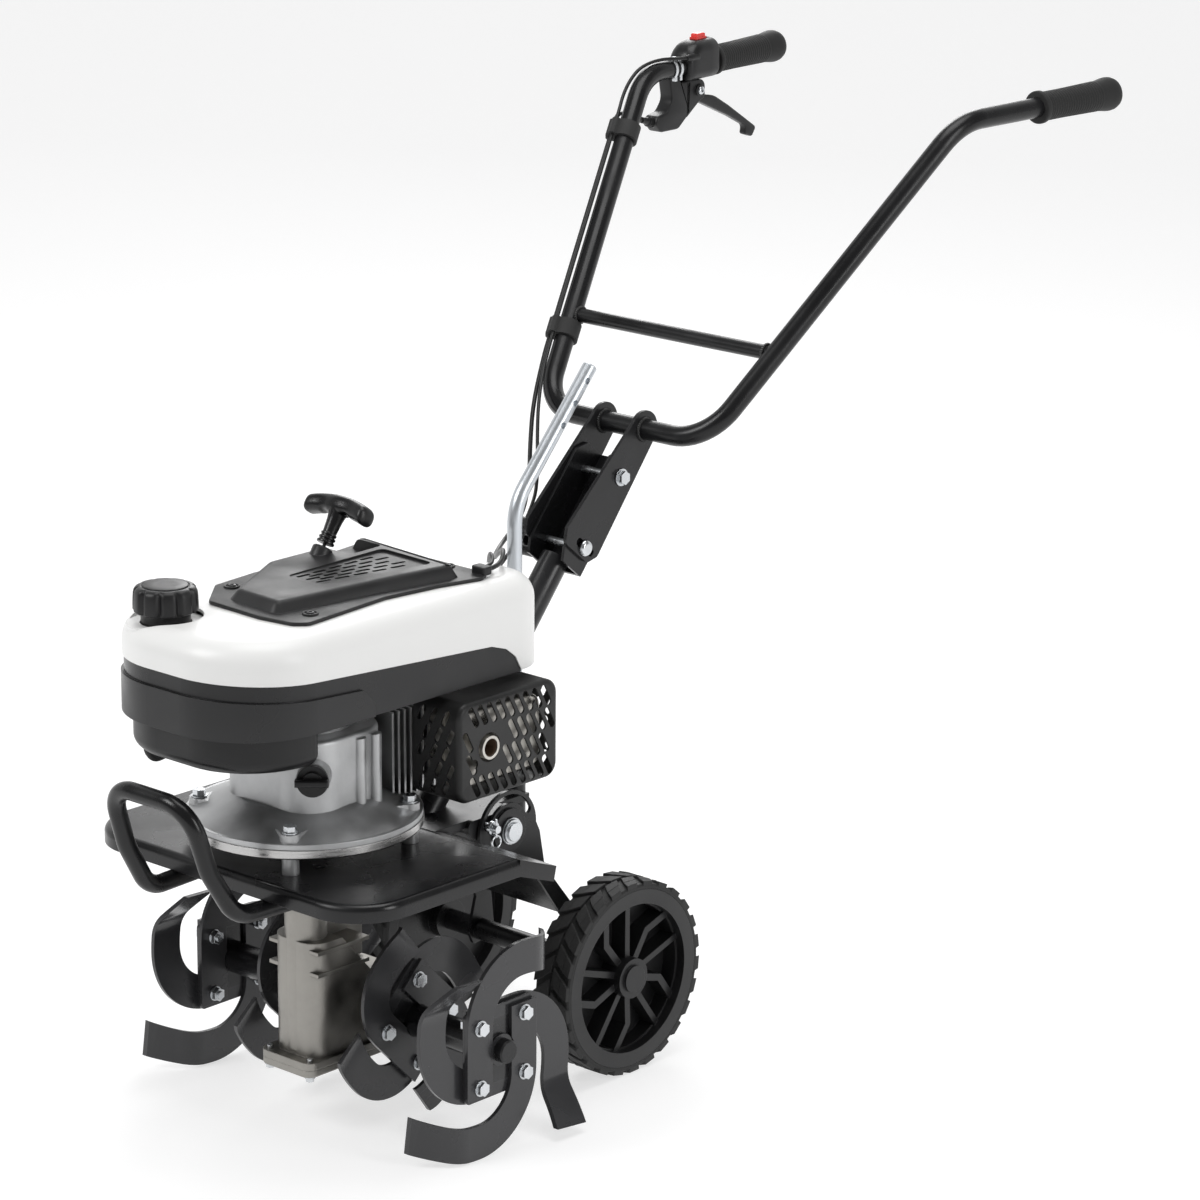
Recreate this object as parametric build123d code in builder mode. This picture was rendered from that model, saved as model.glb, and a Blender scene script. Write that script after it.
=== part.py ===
# Walk-behind garden tiller: four-stroke engine on a worm gear case, bolt-on tines,
# two folding transport wheels, adjustable handlebar and a drag bar.
# Millimetres. +X is the operator's left, -Y the front, +Z up. The machine stands on z = 0,
# on its two tyres and on the lowest tines. y = 0 is the tine shaft's axis.
import os
from math import sin, cos, tan, radians, pi, sqrt, atan2, degrees
from build123d import *

os.makedirs("parts", exist_ok=True)

# ---------------------------------------------------------------- driving dimensions
tine_z = 110.0            # tine shaft height
cross_y = -42.0           # countershaft, in front of the tine shaft
crank_y = -79.0           # crankshaft and worm axis
tine_plate_x = 197.0      # outer tine plates
inner_plate_x = 77.0      # inner tine plates
plate_side = 97.0
plate_t = 5.0
tine_bolt_square = 64.8
tine_w = 37.0             # width of the tine strip
tine_t = 4.5
fender_z = 309.0          # top of the fender
fender_half_w = 206.0
fender_front = -203.0
fender_t = 2.5
flange_z = 328.0          # underside of the engine flange
flange_r = 122.5
engine_bolt_r = 108.0
engine_bolt_angles = (-51.5, 38.5, 128.5, 218.5)
wheel_y, wheel_z = 250.0, 107.0
wheel_r = 107.0
wheel_in, wheel_out = 112.0, 159.0
arm_y, arm_z = 150.0, 278.0          # wheel arm pivot
arm_half_w = 68.0
pivot_y, pivot_z = 366.0, 614.0      # handle pivot bolt
lean = 40.0                          # post leans back from vertical
tube_r = 11.1                        # handlebar tube 22.2 mm
shroud_hw = 120.0                    # engine shroud half width
shroud_front, shroud_rear = -270.0, 166.0
bar_x, bar_y = 24.0, 208.0           # drag bar
bar_r = 8.0

post_d = Vector(0, sin(radians(lean)), cos(radians(lean)))     # up along the post
post_n = Vector(0, cos(radians(lean)), -sin(radians(lean)))    # square to it, to the rear
pivot = Vector(0, pivot_y, pivot_z)
MIN3 = (Align.CENTER, Align.CENTER, Align.MIN)
MAX3 = (Align.CENTER, Align.CENTER, Align.MAX)


def seam_z(y):
    """height of the joint between the white cover and its dark base"""
    return 514.0 - (y + 60.0) * 0.0665


def xplane(x, y=0.0, z=0.0):
    """plane square to X: its own x runs along +Y, its y along +Z"""
    return Plane(origin=(x, y, z), x_dir=(0, 1, 0), z_dir=(1, 0, 0))


def rod(p, d, r, length, align=MIN3, mode=Mode.ADD):
    """cylinder from p along d"""
    with Locations(Plane(origin=p, z_dir=d).location):
        Cylinder(r, length, align=align, mode=mode)


def hexagon(p, d, across, height, mode=Mode.ADD):
    with BuildSketch(Plane(origin=p, z_dir=d)) as s:
        RegularPolygon(across / 2, 6, major_radius=False)
    extrude(s.sketch, amount=height, mode=mode)


def flange_bolt(p, d, r, length, across, height, washer_r):
    """bolt with its head's underside at p; the head points along d"""
    rod(p, d, washer_r, 1.6)
    hexagon(Vector(*p) + Vector(*d) * 1.6, d, across, height)
    rod(p, d, r, length, align=MAX3)


def engine_pts(r=engine_bolt_r):
    return [(r * cos(radians(a)), crank_y + r * sin(radians(a))) for a in engine_bolt_angles]


# ---------------------------------------------------------------- gear case
case_bolt_pts = [(29.5, -104), (-29.5, -104), (29.5, -30), (-29.5, -30), (29.5, 41), (-29.5, 41)]
with BuildPart() as gear_case:
    # front column round the worm shaft, bell for the clutch and top plate
    with Locations((0, crank_y, 84)):
        Cylinder(22, 180, align=MIN3)
    with Locations((0, crank_y, 240)):
        Cylinder(28, 24, align=MIN3)
    with Locations((0, crank_y, 262)):
        Cylinder(60, 37, align=MIN3)
    with Locations((0, crank_y, 298)):
        Cylinder(119, 8.5, align=MIN3)
    # lower housing round the gears
    with BuildSketch(xplane(-34)) as s:
        with BuildLine():
            Polyline((-100, 76), (34, 76), (41, 90), (41, 128), (30, 148), (-18, 158), (-60, 205), (-100, 205), close=True)
        make_face()
    extrude(amount=68)
    fillet(gear_case.edges().filter_by(Axis.Z).filter_by(lambda e: e.center().Y < -95 and abs(e.center().X) > 30), 22)
    with Locations(Plane(origin=(-40, 0, tine_z), z_dir=(1, 0, 0)).location):
        Cylinder(31, 80, align=MIN3)
    # ribs on the casting
    for z in (172, 196):
        with Locations((0, -60, z)):
            Box(72, 74, 4)
    with Locations((0, -32, 215)):
        Box(8, 60, 100)
    # foot flange
    with BuildSketch(Plane.XY.offset(72)) as s:
        with Locations((0, -33)):
            RectangleRounded(76, 160, 12)
    extrude(amount=8)
    # gear chamber, open below
    with BuildSketch(xplane(-24)) as s:
        with BuildLine():
            Polyline((-72, 71), (33, 71), (33, 126), (26, 142), (-20, 148), (-72, 148), close=True)
        make_face()
    extrude(amount=48, mode=Mode.SUBTRACT)
    with Locations((0, crank_y, 90)):
        Cylinder(18.5, 166, align=MIN3, mode=Mode.SUBTRACT)
    with Locations((0, crank_y, 71)):
        Cylinder(16, 20, align=MIN3, mode=Mode.SUBTRACT)
    with Locations((0, crank_y, 256)):
        Cylinder(20, 16, align=MIN3, mode=Mode.SUBTRACT)
    with Locations((0, crank_y, 270)):
        Cylinder(52, 40, align=MIN3, mode=Mode.SUBTRACT)
    rod((-41, 0, tine_z), (1, 0, 0), 21, 82, mode=Mode.SUBTRACT)
    rod((-32, cross_y, tine_z), (1, 0, 0), 14, 64, mode=Mode.SUBTRACT)
    with Locations((0, 23, 298)):
        Box(260, 60, 20, align=(Align.CENTER, Align.MIN, Align.MIN), mode=Mode.SUBTRACT)
    for x, y in engine_pts():
        with Locations((x, y, 297)):
            Cylinder(4.3, 12, align=MIN3, mode=Mode.SUBTRACT)
    for x, y in case_bolt_pts:
        with Locations((x, y, 71)):
            Cylinder(3.1, 14, align=MIN3, mode=Mode.SUBTRACT)
gear_case.part.label = "gear_case"
export_step(gear_case.part, "parts/gear_case.step")

with BuildPart() as gear_case_cover:
    with BuildSketch(Plane.XY.offset(64)) as s:
        with Locations((0, -33)):
            RectangleRounded(76, 160, 12)
    extrude(amount=8)
    fillet(gear_case_cover.faces().sort_by(Axis.Z)[0].edges(), 2)
    for x, y in case_bolt_pts:
        with Locations((x, y, 60)):
            Cylinder(3.3, 14, align=MIN3, mode=Mode.SUBTRACT)
gear_case_cover.part.label = "gear_case_cover"
export_step(gear_case_cover.part, "parts/gear_case_cover.step")

with BuildPart() as gear_case_bolts:
    for x, y in case_bolt_pts:
        flange_bolt((x, y, 64), (0, 0, -1), 3.0, 19, 8, 4.0, 6.0)
gear_case_bolts.part.label = "gear_case_bolts"
export_step(gear_case_bolts.part, "parts/gear_case_bolts.step")

# bearing rings: two on the worm shaft, two on the countershaft, two on the tine shaft
with BuildPart() as shaft_bearings:
    for z, ro, h in ((78, 15.98, 9), (257, 19.98, 11)):
        with Locations((0, crank_y, z)):
            Cylinder(ro, h, align=MIN3)
            Cylinder(7.5, h, align=MIN3, mode=Mode.SUBTRACT)
    for x in (-31.5, 24.5):
        rod((x, cross_y, tine_z), (1, 0, 0), 13.98, 7)
        rod((x, cross_y, tine_z), (1, 0, 0), 6.0, 7, mode=Mode.SUBTRACT)
    for x in (-36, 27):
        rod((x, 0, tine_z), (1, 0, 0), 20.98, 9)
        rod((x, 0, tine_z), (1, 0, 0), 12.5, 9, mode=Mode.SUBTRACT)
shaft_bearings.part.label = "shaft_bearings"
export_step(shaft_bearings.part, "parts/shaft_bearings.step")

# ---------------------------------------------------------------- gear train
worm_lead = 2.0 * pi       # module 2, single start


def gear_points(teeth, module, root, tip, flank_root, flank_tip, phase=0.0):
    """outline of a straight-sided gear; flanks given as half angles in shares of the pitch"""
    pitch = 2 * pi / teeth
    pts = []
    for i in range(teeth):
        a = phase + i * pitch
        for r, s in ((root, -flank_root), (tip, -flank_tip), (tip, flank_tip), (root, flank_root)):
            pts.append((r * cos(a + s * pitch), r * sin(a + s * pitch)))
    return pts


with BuildPart() as input_shaft:
    with Locations((0, crank_y, 76)):
        Cylinder(7.45, 199, align=MIN3)
    with Locations((0, crank_y, 90.5)):
        Cylinder(12.0, 39.5, align=MIN3)
    with Locations((0, crank_y, 130)):
        Cylinder(9.5, 124, align=MIN3)
    # worm thread, wound round the core
    with BuildLine() as helix_line:
        Helix(pitch=worm_lead, height=worm_lead * 5, radius=12.0, center=(0, crank_y, 92.72))
    with BuildSketch(Plane(origin=helix_line.line @ 0, x_dir=(1, 0, 0), z_dir=(0, 1, 0))) as thread:
        Polygon((-0.6, -1.35), (-0.6, 1.35), (4.6, 0.62), (4.6, -0.62), align=None)
    sweep(thread.sketch, path=helix_line.line, is_frenet=True)
input_shaft.part.label = "input_shaft"
export_step(input_shaft.part, "parts/input_shaft.step")
print("worm", input_shaft.part.volume, input_shaft.part.is_valid, len(input_shaft.part.solids()))

with BuildPart() as worm_wheel:
    with BuildSketch(xplane(-8, cross_y, tine_z)) as s:
        Polygon(*gear_points(22, 2, 19.4, 23.8, 0.25, 0.11), align=None)
        Circle(9.02, mode=Mode.SUBTRACT)
    extrude(amount=16)
worm_wheel.part.label = "worm_wheel"
export_step(worm_wheel.part, "parts/worm_wheel.step")

with BuildPart() as pinion_shaft:
    rod((-32, cross_y, tine_z), (1, 0, 0), 5.95, 64)
    rod((-22, cross_y, tine_z), (1, 0, 0), 9.0, 44)
    with BuildSketch(xplane(10, cross_y, tine_z)) as s:
        Polygon(*gear_points(14, 2, 11.4, 15.8, 0.27, 0.13), align=None)
    extrude(amount=12)
pinion_shaft.part.label = "pinion_shaft"
export_step(pinion_shaft.part, "parts/pinion_shaft.step")

with BuildPart() as tine_shaft:
    rod((-214, 0, tine_z), (1, 0, 0), 12.45, 428)
    chamfer(tine_shaft.edges().filter_by(GeomType.CIRCLE), 1.5)
    for sx in (1, -1):
        rod((sx * 52, 0, tine_z - 20), (0, 0, 1), 4.1, 40, mode=Mode.SUBTRACT)
    # ring grooves outside the hubs
    for x in (-204.5, 203.2):
        with BuildSketch(xplane(x, 0, tine_z)) as s:
            Circle(14)
            Circle(11.4, mode=Mode.SUBTRACT)
        extrude(s.sketch, amount=1.3, mode=Mode.SUBTRACT)
tine_shaft.part.label = "tine_shaft"
export_step(tine_shaft.part, "parts/tine_shaft.step")

with BuildPart() as tine_gear:
    with BuildSketch(xplane(10, 0, tine_z)) as s:
        # a gap faces the pinion's tooth
        Polygon(*gear_points(28, 2, 25.4, 29.8, 0.26, 0.12, phase=pi / 28), align=None)
        Circle(12.47, mode=Mode.SUBTRACT)
    extrude(amount=12)
tine_gear.part.label = "tine_gear"
export_step(tine_gear.part, "parts/tine_gear.step")

# ---------------------------------------------------------------- tines
half_sq = tine_bolt_square / 2
bolt_corners = [(half_sq, half_sq), (-half_sq, half_sq), (-half_sq, -half_sq), (half_sq, -half_sq)]


def rotor_plane(x, turn):
    """plane square to X on the tine shaft, turned about it"""
    a = radians(turn)
    return Plane(origin=(x, 0, tine_z), x_dir=(0, cos(a), sin(a)), z_dir=(1, 0, 0))


with BuildPart() as tine_hubs:
    for sx in (1, -1):
        x0, x1 = sorted((sx * 43.0, sx * 203.0))
        with BuildSketch(xplane(x0, 0, tine_z)) as s:
            Circle(17)
        extrude(amount=x1 - x0)
        for px, turn in ((inner_plate_x, 45), (tine_plate_x, 0)):
            with BuildSketch(rotor_plane(sx * px - plate_t / 2, turn)) as s:
                RectangleRounded(plate_side, plate_side, 5)
                with Locations(*bolt_corners):
                    Circle(4.3, mode=Mode.SUBTRACT)
            extrude(amount=plate_t)
        rod((x0 - 1, 0, tine_z), (1, 0, 0), 12.48, x1 - x0 + 2, mode=Mode.SUBTRACT)
        rod((sx * 52, 0, tine_z - 20), (0, 0, 1), 4.1, 40, mode=Mode.SUBTRACT)
tine_hubs.part.label = "tine_hubs"
export_step(tine_hubs.part, "parts/tine_hubs.step")

# sickle of the long outer tines and of the short inner ones:
# end of the straight root, bend radius, tip radius, tip angle, fold start, fold radius, fold angle
long_tine = (-28.0, 63.5, 150.0, 24.0, 49.5, 30.0, 46.0)
short_tine = (-34.0, 46.0, 110.0, 22.0, 49.5, 26.0, 44.0)


def tine_blank(turn, shape):
    """outline of one tine, seen along X: root column, bend and pointed tip"""
    zc, br, tr, ta = shape[:4]
    a = radians(turn)
    hw = tine_w / 2
    yc = half_sq - br
    zt = zc - br + tr                     # centre of the tip's arc
    e, e2 = radians(ta), radians(ta + 6)
    top = half_sq + 11
    m = radians(-45)
    frame = Plane(origin=(-300, 0, tine_z), x_dir=(0, cos(a), sin(a)), z_dir=(1, 0, 0))

    def bend(r, ang):
        return (yc + r * cos(ang), zc + r * sin(ang))

    def tip(r, ang):
        return (yc - r * sin(ang), zt - r * cos(ang))

    with BuildSketch(frame) as s:
        with BuildLine():
            Line((half_sq + hw, top), (half_sq + hw, zc))
            ThreePointArc((half_sq + hw, zc), bend(br + hw, m), bend(br + hw, -pi / 2))
            ThreePointArc(tip(tr + hw, 0), tip(tr + hw, e / 2), tip(tr + hw, e))
            Line(tip(tr + hw, e), tip(tr - hw, e2))
            ThreePointArc(tip(tr - hw, e2), tip(tr - hw, e2 / 2), tip(tr - hw, 0))
            ThreePointArc(bend(br - hw, -pi / 2), bend(br - hw, m), (half_sq - hw, zc))
            Line((half_sq - hw, zc), (half_sq - hw, top))
            Line((half_sq - hw, top), (half_sq + hw, top))
        make_face()
        with Locations((half_sq, half_sq), (half_sq, -half_sq)):
            Circle(4.3, mode=Mode.SUBTRACT)
    return extrude(s.sketch, amount=600, mode=Mode.PRIVATE)


def tine_sheet(x_face, side, turn, shape):
    """folded strip: flat on the plate's face, bent sideways towards the tip"""
    at, fr, fa = shape[4], shape[5], radians(shape[6])
    a = radians(turn)
    d = -side                             # the tip folds back over the plate
    far = 110.0

    def arc(t, ang):
        r = fr - d * t
        return (-at - r * sin(ang), d * (fr - r * cos(ang)))

    def end(t):
        p = arc(t, fa)
        return (p[0] - far * cos(fa), p[1] + d * far * sin(fa))

    lo, hi = 0.0, side * tine_t
    with BuildSketch(Plane(origin=(x_face, 0, tine_z), x_dir=(0, cos(a), sin(a)), z_dir=(0, sin(a), -cos(a)))) as f:
        with BuildLine():
            Line((70, lo), (-at, lo))
            ThreePointArc((-at, lo), arc(lo, fa / 2), arc(lo, fa))
            Line(arc(lo, fa), end(lo))
            Line(end(lo), end(hi))
            Line(end(hi), arc(hi, fa))
            ThreePointArc(arc(hi, fa), arc(hi, fa / 2), (-at, hi))
            Line((-at, hi), (70, hi))
            Line((70, hi), (70, lo))
        make_face()
    return extrude(f.sketch, amount=190, both=True, mode=Mode.PRIVATE)


def add_tines(sx):
    """the two plates of one side, four tines each, lying on the two faces by turns"""
    for px, base_turn, shape in ((inner_plate_x, 45, short_tine), (tine_plate_x, 0, long_tine)):
        for k in range(4):
            out = sx if k % 2 == 0 else -sx
            face = sx * (px + out * plate_t / 2)
            turn = base_turn - 90 * k
            add(tine_blank(turn, shape) & tine_sheet(face, sx * out, turn, shape))
    rod((min(0, sx * 300), 0, tine_z), (1, 0, 0), 17.3, 300, mode=Mode.SUBTRACT)


with BuildPart() as left_tines:
    add_tines(1)
left_tines.part.label = "left_tines"
export_step(left_tines.part, "parts/left_tines.step")
with BuildPart() as right_tines:
    add_tines(-1)
right_tines.part.label = "right_tines"
export_step(right_tines.part, "parts/right_tines.step")
for t in (left_tines, right_tines):
    b = t.part.bounding_box()
    print("tines", len(t.part.solids()), [round(v, 1) for v in (*b.min, *b.max)], t.part.is_valid)

with BuildPart() as tine_bolts:
    for sx in (1, -1):
        for px, turn in ((inner_plate_x, 45), (tine_plate_x, 0)):
            a = radians(turn)
            for i, (u, v) in enumerate(bolt_corners):
                y, z = u * cos(a) - v * sin(a), tine_z + u * sin(a) + v * cos(a)
                xo = sx * (px + plate_t / 2 + tine_t)
                xi = sx * (px - plate_t / 2 - tine_t)
                flange_bolt((xo, y, z), (sx, 0, 0), 4.0, 24, 13, 5.0, 8.5)
                rod((xi, y, z), (-sx, 0, 0), 8.0, 1.5)
                hexagon((xi - sx * 1.5, y, z), (-sx, 0, 0), 13, 6.0)
        # hub pin through the shaft
        rod((sx * 52, 0, tine_z - 22), (0, 0, 1), 4.0, 44)
        rod((sx * 52, 0, tine_z + 17.6), (0, 0, 1), 6.5, 5)
tine_bolts.part.label = "tine_bolts"
export_step(tine_bolts.part, "parts/tine_bolts.step")
print("tine bolts", len(tine_bolts.part.solids()))

# ---------------------------------------------------------------- fender and front guard
fender_skirt = 18.0
slope_end_y, slope_drop = 78.0, 20.0
with BuildPart() as fender:
    # front and sides as one tray, rear strip falling away
    with BuildSketch(Plane.XY.offset(fender_z - fender_skirt)) as s:
        with Locations((0, (24 + fender_front) / 2)):
            RectangleRounded(2 * fender_half_w, 24 - fender_front, 62)
        with Locations((0, 24 - 40)):
            Rectangle(2 * fender_half_w, 80)
    extrude(amount=fender_skirt)
    fillet(fender.edges().filter_by(lambda e: abs(e.center().Z - fender_z) < 0.01 and e.center().Y < 23.9), 7)
    with BuildSketch(Plane.XY.offset(fender_z - fender_skirt - 1)) as s:
        with Locations((0, (30 + fender_front + fender_t) / 2)):
            RectangleRounded(2 * (fender_half_w - fender_t), 30 - fender_front - fender_t, 59)
        with Locations((0, 30 - 45)):
            Rectangle(2 * (fender_half_w - fender_t), 90)
    extrude(amount=fender_skirt + 1 - fender_t, mode=Mode.SUBTRACT)
    # rear strip with its side lips, bent down
    with BuildSketch(xplane(-fender_half_w)) as s:
        with BuildLine():
            Polyline((24, fender_z), (slope_end_y, fender_z - slope_drop), (slope_end_y - 4, fender_z - slope_drop - fender_skirt + 2),
                     (24, fender_z - fender_skirt), close=True)
        make_face()
    extrude(amount=2 * fender_half_w)
    with BuildSketch(xplane(-fender_half_w + fender_t)) as s:
        with BuildLine():
            Polyline((23, fender_z - fender_t), (24, fender_z - fender_t), (90, fender_z - fender_t - slope_drop * 66 / 54),
                     (90, fender_z - 60), (23, fender_z - 60), close=True)
        make_face()
    extrude(amount=2 * (fender_half_w - fender_t), mode=Mode.SUBTRACT)
    # opening for the clutch, bolt holes and the notch round the rear bracket
    with Locations((0, crank_y, fender_z - 10)):
        Cylinder(54, 20, mode=Mode.SUBTRACT)
    for x, y in engine_pts():
        with Locations((x, y, fender_z - 5)):
            Cylinder(4.3, 12, mode=Mode.SUBTRACT)
    with Locations((0, 72, fender_z - 12)):
        Box(130, 60, 60, mode=Mode.SUBTRACT)
fender.part.label = "fender"
export_step(fender.part, "parts/fender.step")
print("fender", fender.part.is_valid, len(fender.part.solids()))

# guard loop of 19 mm tube bolted under the fender's front
guard_r = 9.5
guard_half = [(70, -150, 281), (64, -236, 281), (60, -268, 335), (57, -290, 405)]
guard_pts = guard_half + [(-x, y, z) for x, y, z in reversed(guard_half)]
with BuildPart() as front_guard:
    with BuildLine() as guard_line:
        FilletPolyline(*guard_pts, radius=[34, 60, 34, 34, 60, 34])
    with BuildSketch(Plane(origin=guard_line.line @ 0, z_dir=guard_line.line % 0)) as s:
        Circle(guard_r)
    sweep(path=guard_line.line)
    # flattened lugs, screwed to the gear case's top plate
    for sx in (1, -1):
        with Locations((sx * 66, -147, 293)):
            Box(16, 14, 10)
front_guard.part.label = "front_guard"
export_step(front_guard.part, "parts/front_guard.step")
print("guard", front_guard.part.is_valid, len(front_guard.part.solids()))

# ---------------------------------------------------------------- engine
with BuildPart() as engine_spacers:
    for x, y in engine_pts():
        with Locations((x, y, fender_z)):
            Cylinder(9, flange_z - fender_z, align=MIN3)
            Cylinder(4.3, flange_z - fender_z, align=MIN3, mode=Mode.SUBTRACT)
engine_spacers.part.label = "engine_spacers"
export_step(engine_spacers.part, "parts/engine_spacers.step")

boss_top = 352.0
with BuildPart() as engine_bolts:
    for x, y in engine_pts():
        flange_bolt((x, y, boss_top), (0, 0, 1), 4.0, boss_top - 296.0, 12, 6, 8.5)
        hexagon((x, y, 291.5), (0, 0, 1), 13, 6.3)
engine_bolts.part.label = "engine_bolts"
export_step(engine_bolts.part, "parts/engine_bolts.step")

with BuildPart() as sump_cover:
    with Locations((0, crank_y, flange_z)):
        Cylinder(flange_r, 9.5, align=MIN3)
    fillet(sump_cover.edges().group_by(Axis.Z)[0], 2)
    with Locations((0, crank_y, 320)):
        Cylinder(26, 14, align=MIN3)
    with Locations((0, crank_y, 318)):
        Cylinder(12.55, 30, align=MIN3, mode=Mode.SUBTRACT)
    for x, y in engine_pts():
        with Locations((x, y, flange_z - 1)):
            Cylinder(4.3, 20, align=MIN3, mode=Mode.SUBTRACT)
sump_cover.part.label = "sump_cover"
export_step(sump_cover.part, "parts/sump_cover.step")

oil_d = Vector(0.67, -0.74, 0.12).normalized()
oil_p = Vector(60, -122, 401)
arm_p = Vector(-48, -138, 403)      # governor shaft
case_z0, case_z1 = 337.5, 436.0
cyl_z = 394.0
with BuildPart() as crankcase:
    with Locations((0, crank_y, case_z0)):
        Cylinder(flange_r - 1, 6, align=MIN3)
    with Locations((0, crank_y, case_z0 + 6)):
        Cone(flange_r - 5, 70, 20, align=MIN3)
    with BuildSketch(Plane.XY.offset(case_z0 + 10)) as s:
        with Locations((0, crank_y)):
            RectangleRounded(140, 128, 46)
    extrude(amount=case_z1 - case_z0 - 10)
    fillet(crankcase.edges().group_by(Axis.Z)[-1], 5)
    # upper deck round the flywheel
    with Locations((0, crank_y, case_z1)):
        Cylinder(52, 33, align=MIN3)
    # bolt bosses with gussets
    for a in engine_bolt_angles:
        ca, sa = cos(radians(a)), sin(radians(a))
        with Locations((engine_bolt_r * ca, crank_y + engine_bolt_r * sa, case_z0)):
            Cylinder(10.5, boss_top - case_z0, align=MIN3)
        # pad that widens from the boss to the casting
        with BuildSketch(Plane(origin=(0, crank_y, case_z0), x_dir=(ca, sa, 0), z_dir=(0, 0, 1))) as s:
            with BuildLine():
                Polyline((engine_bolt_r, 10.5), (76, 27), (76, -27), (engine_bolt_r, -10.5), close=True)
            make_face()
        extrude(amount=boss_top - case_z0)
    # upright columns on the two sides of the casting
    for x in (69, -69):
        for y in (crank_y + 12, crank_y + 34):
            with Locations((x, y, case_z0 + 10)):
                Cylinder(6.5, case_z1 - case_z0 - 16, align=MIN3)
    # oil filler neck
    rod(oil_p - oil_d * 6, oil_d, 17, 34)
    rod(arm_p, (0, -1, 0), 9, 20)
    # finned cylinder to the rear
    rod((0, -30, cyl_z), (0, 1, 0), 38, 97)
    for i in range(9):
        with Locations((0, -8 + i * 8.6, cyl_z)):
            Box(116, 2.6, 92)
    # hollow: crank chamber, bore, bearing seats
    with BuildSketch(Plane.XY.offset(case_z0 - 1)) as s:
        with Locations((0, crank_y)):
            RectangleRounded(122, 110, 26)
    extrude(amount=case_z1 - case_z0 - 9, mode=Mode.SUBTRACT)
    rod((0, -40, cyl_z), (0, 1, 0), 30, 120, mode=Mode.SUBTRACT)
    with Locations((0, crank_y, case_z1 - 20)):
        Cylinder(12.55, 60, align=MIN3, mode=Mode.SUBTRACT)
    rod(oil_p - oil_d * 12, oil_d, 12.2, 60, mode=Mode.SUBTRACT)
    rod(arm_p + Vector(0, 20, 0), (0, -1, 0), 4.0, 60, mode=Mode.SUBTRACT)
    for x, y in engine_pts():
        with Locations((x, y, case_z0 - 1)):
            Cylinder(4.3, 30, align=MIN3, mode=Mode.SUBTRACT)
        with Locations((x, y, boss_top)):
            Cylinder(10.5, 30, align=MIN3, mode=Mode.SUBTRACT)
crankcase.part.label = "crankcase"
export_step(crankcase.part, "parts/crankcase.step")
print("crankcase", crankcase.part.is_valid, len(crankcase.part.solids()))

with BuildPart() as cylinder_head:
    with Locations((0, 67, cyl_z)):
        Box(100, 12, 84, align=(Align.CENTER, Align.MIN, Align.CENTER))
    for i in range(6):
        with Locations((-42 + i * 16.8, 78, cyl_z)):
            Box(3, 22, 84, align=(Align.CENTER, Align.MIN, Align.CENTER))
    with Locations((0, 78, cyl_z)):
        Box(60, 8, 60, align=(Align.CENTER, Align.MIN, Align.CENTER))
    # exhaust port towards the silencer, inlet port to the other side
    rod((44, 73, cyl_z + 6), (1, 0, 0), 5.6, 37.8)
    rod((-44, 73, cyl_z + 6), (-1, 0, 0), 5.6, 25.2)
cylinder_head.part.label = "cylinder_head"
export_step(cylinder_head.part, "parts/cylinder_head.step")

# silencer with its outlet, and the slotted guard round it
muf_x0, muf_x1 = 82.0, 129.0
muf_y0, muf_y1 = 16.0, 136.0
muf_z0, muf_z1 = 366.0, 447.0
outlet_y, outlet_z = 47.0, 409.0
guard_x, guard_y0, guard_y1, guard_z0, guard_z1 = 141.0, 2.0, 150.0, 355.0, 461.0
with BuildPart() as muffler:
    with Locations(((muf_x0 + muf_x1) / 2, (muf_y0 + muf_y1) / 2, (muf_z0 + muf_z1) / 2)):
        Box(muf_x1 - muf_x0, muf_y1 - muf_y0, muf_z1 - muf_z0)
    fillet(muffler.edges().filter_by(Axis.X), 16)
    fillet(muffler.edges().filter_by(Plane.YZ), 4)
    # rolled seam round the middle
    with BuildSketch(xplane(103)) as s:
        with Locations(((muf_y0 + muf_y1) / 2, (muf_z0 + muf_z1) / 2)):
            RectangleRounded(muf_y1 - muf_y0 + 5, muf_z1 - muf_z0 + 5, 18)
    extrude(amount=4)
    rod((muf_x1 - 4, outlet_y, outlet_z), (1, 0, 0), 12.5, 18.5)
    rod((muf_x1 - 6, outlet_y, outlet_z), (1, 0, 0), 9.5, 30, mode=Mode.SUBTRACT)
muffler.part.label = "muffler"
export_step(muffler.part, "parts/muffler.step")

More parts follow.
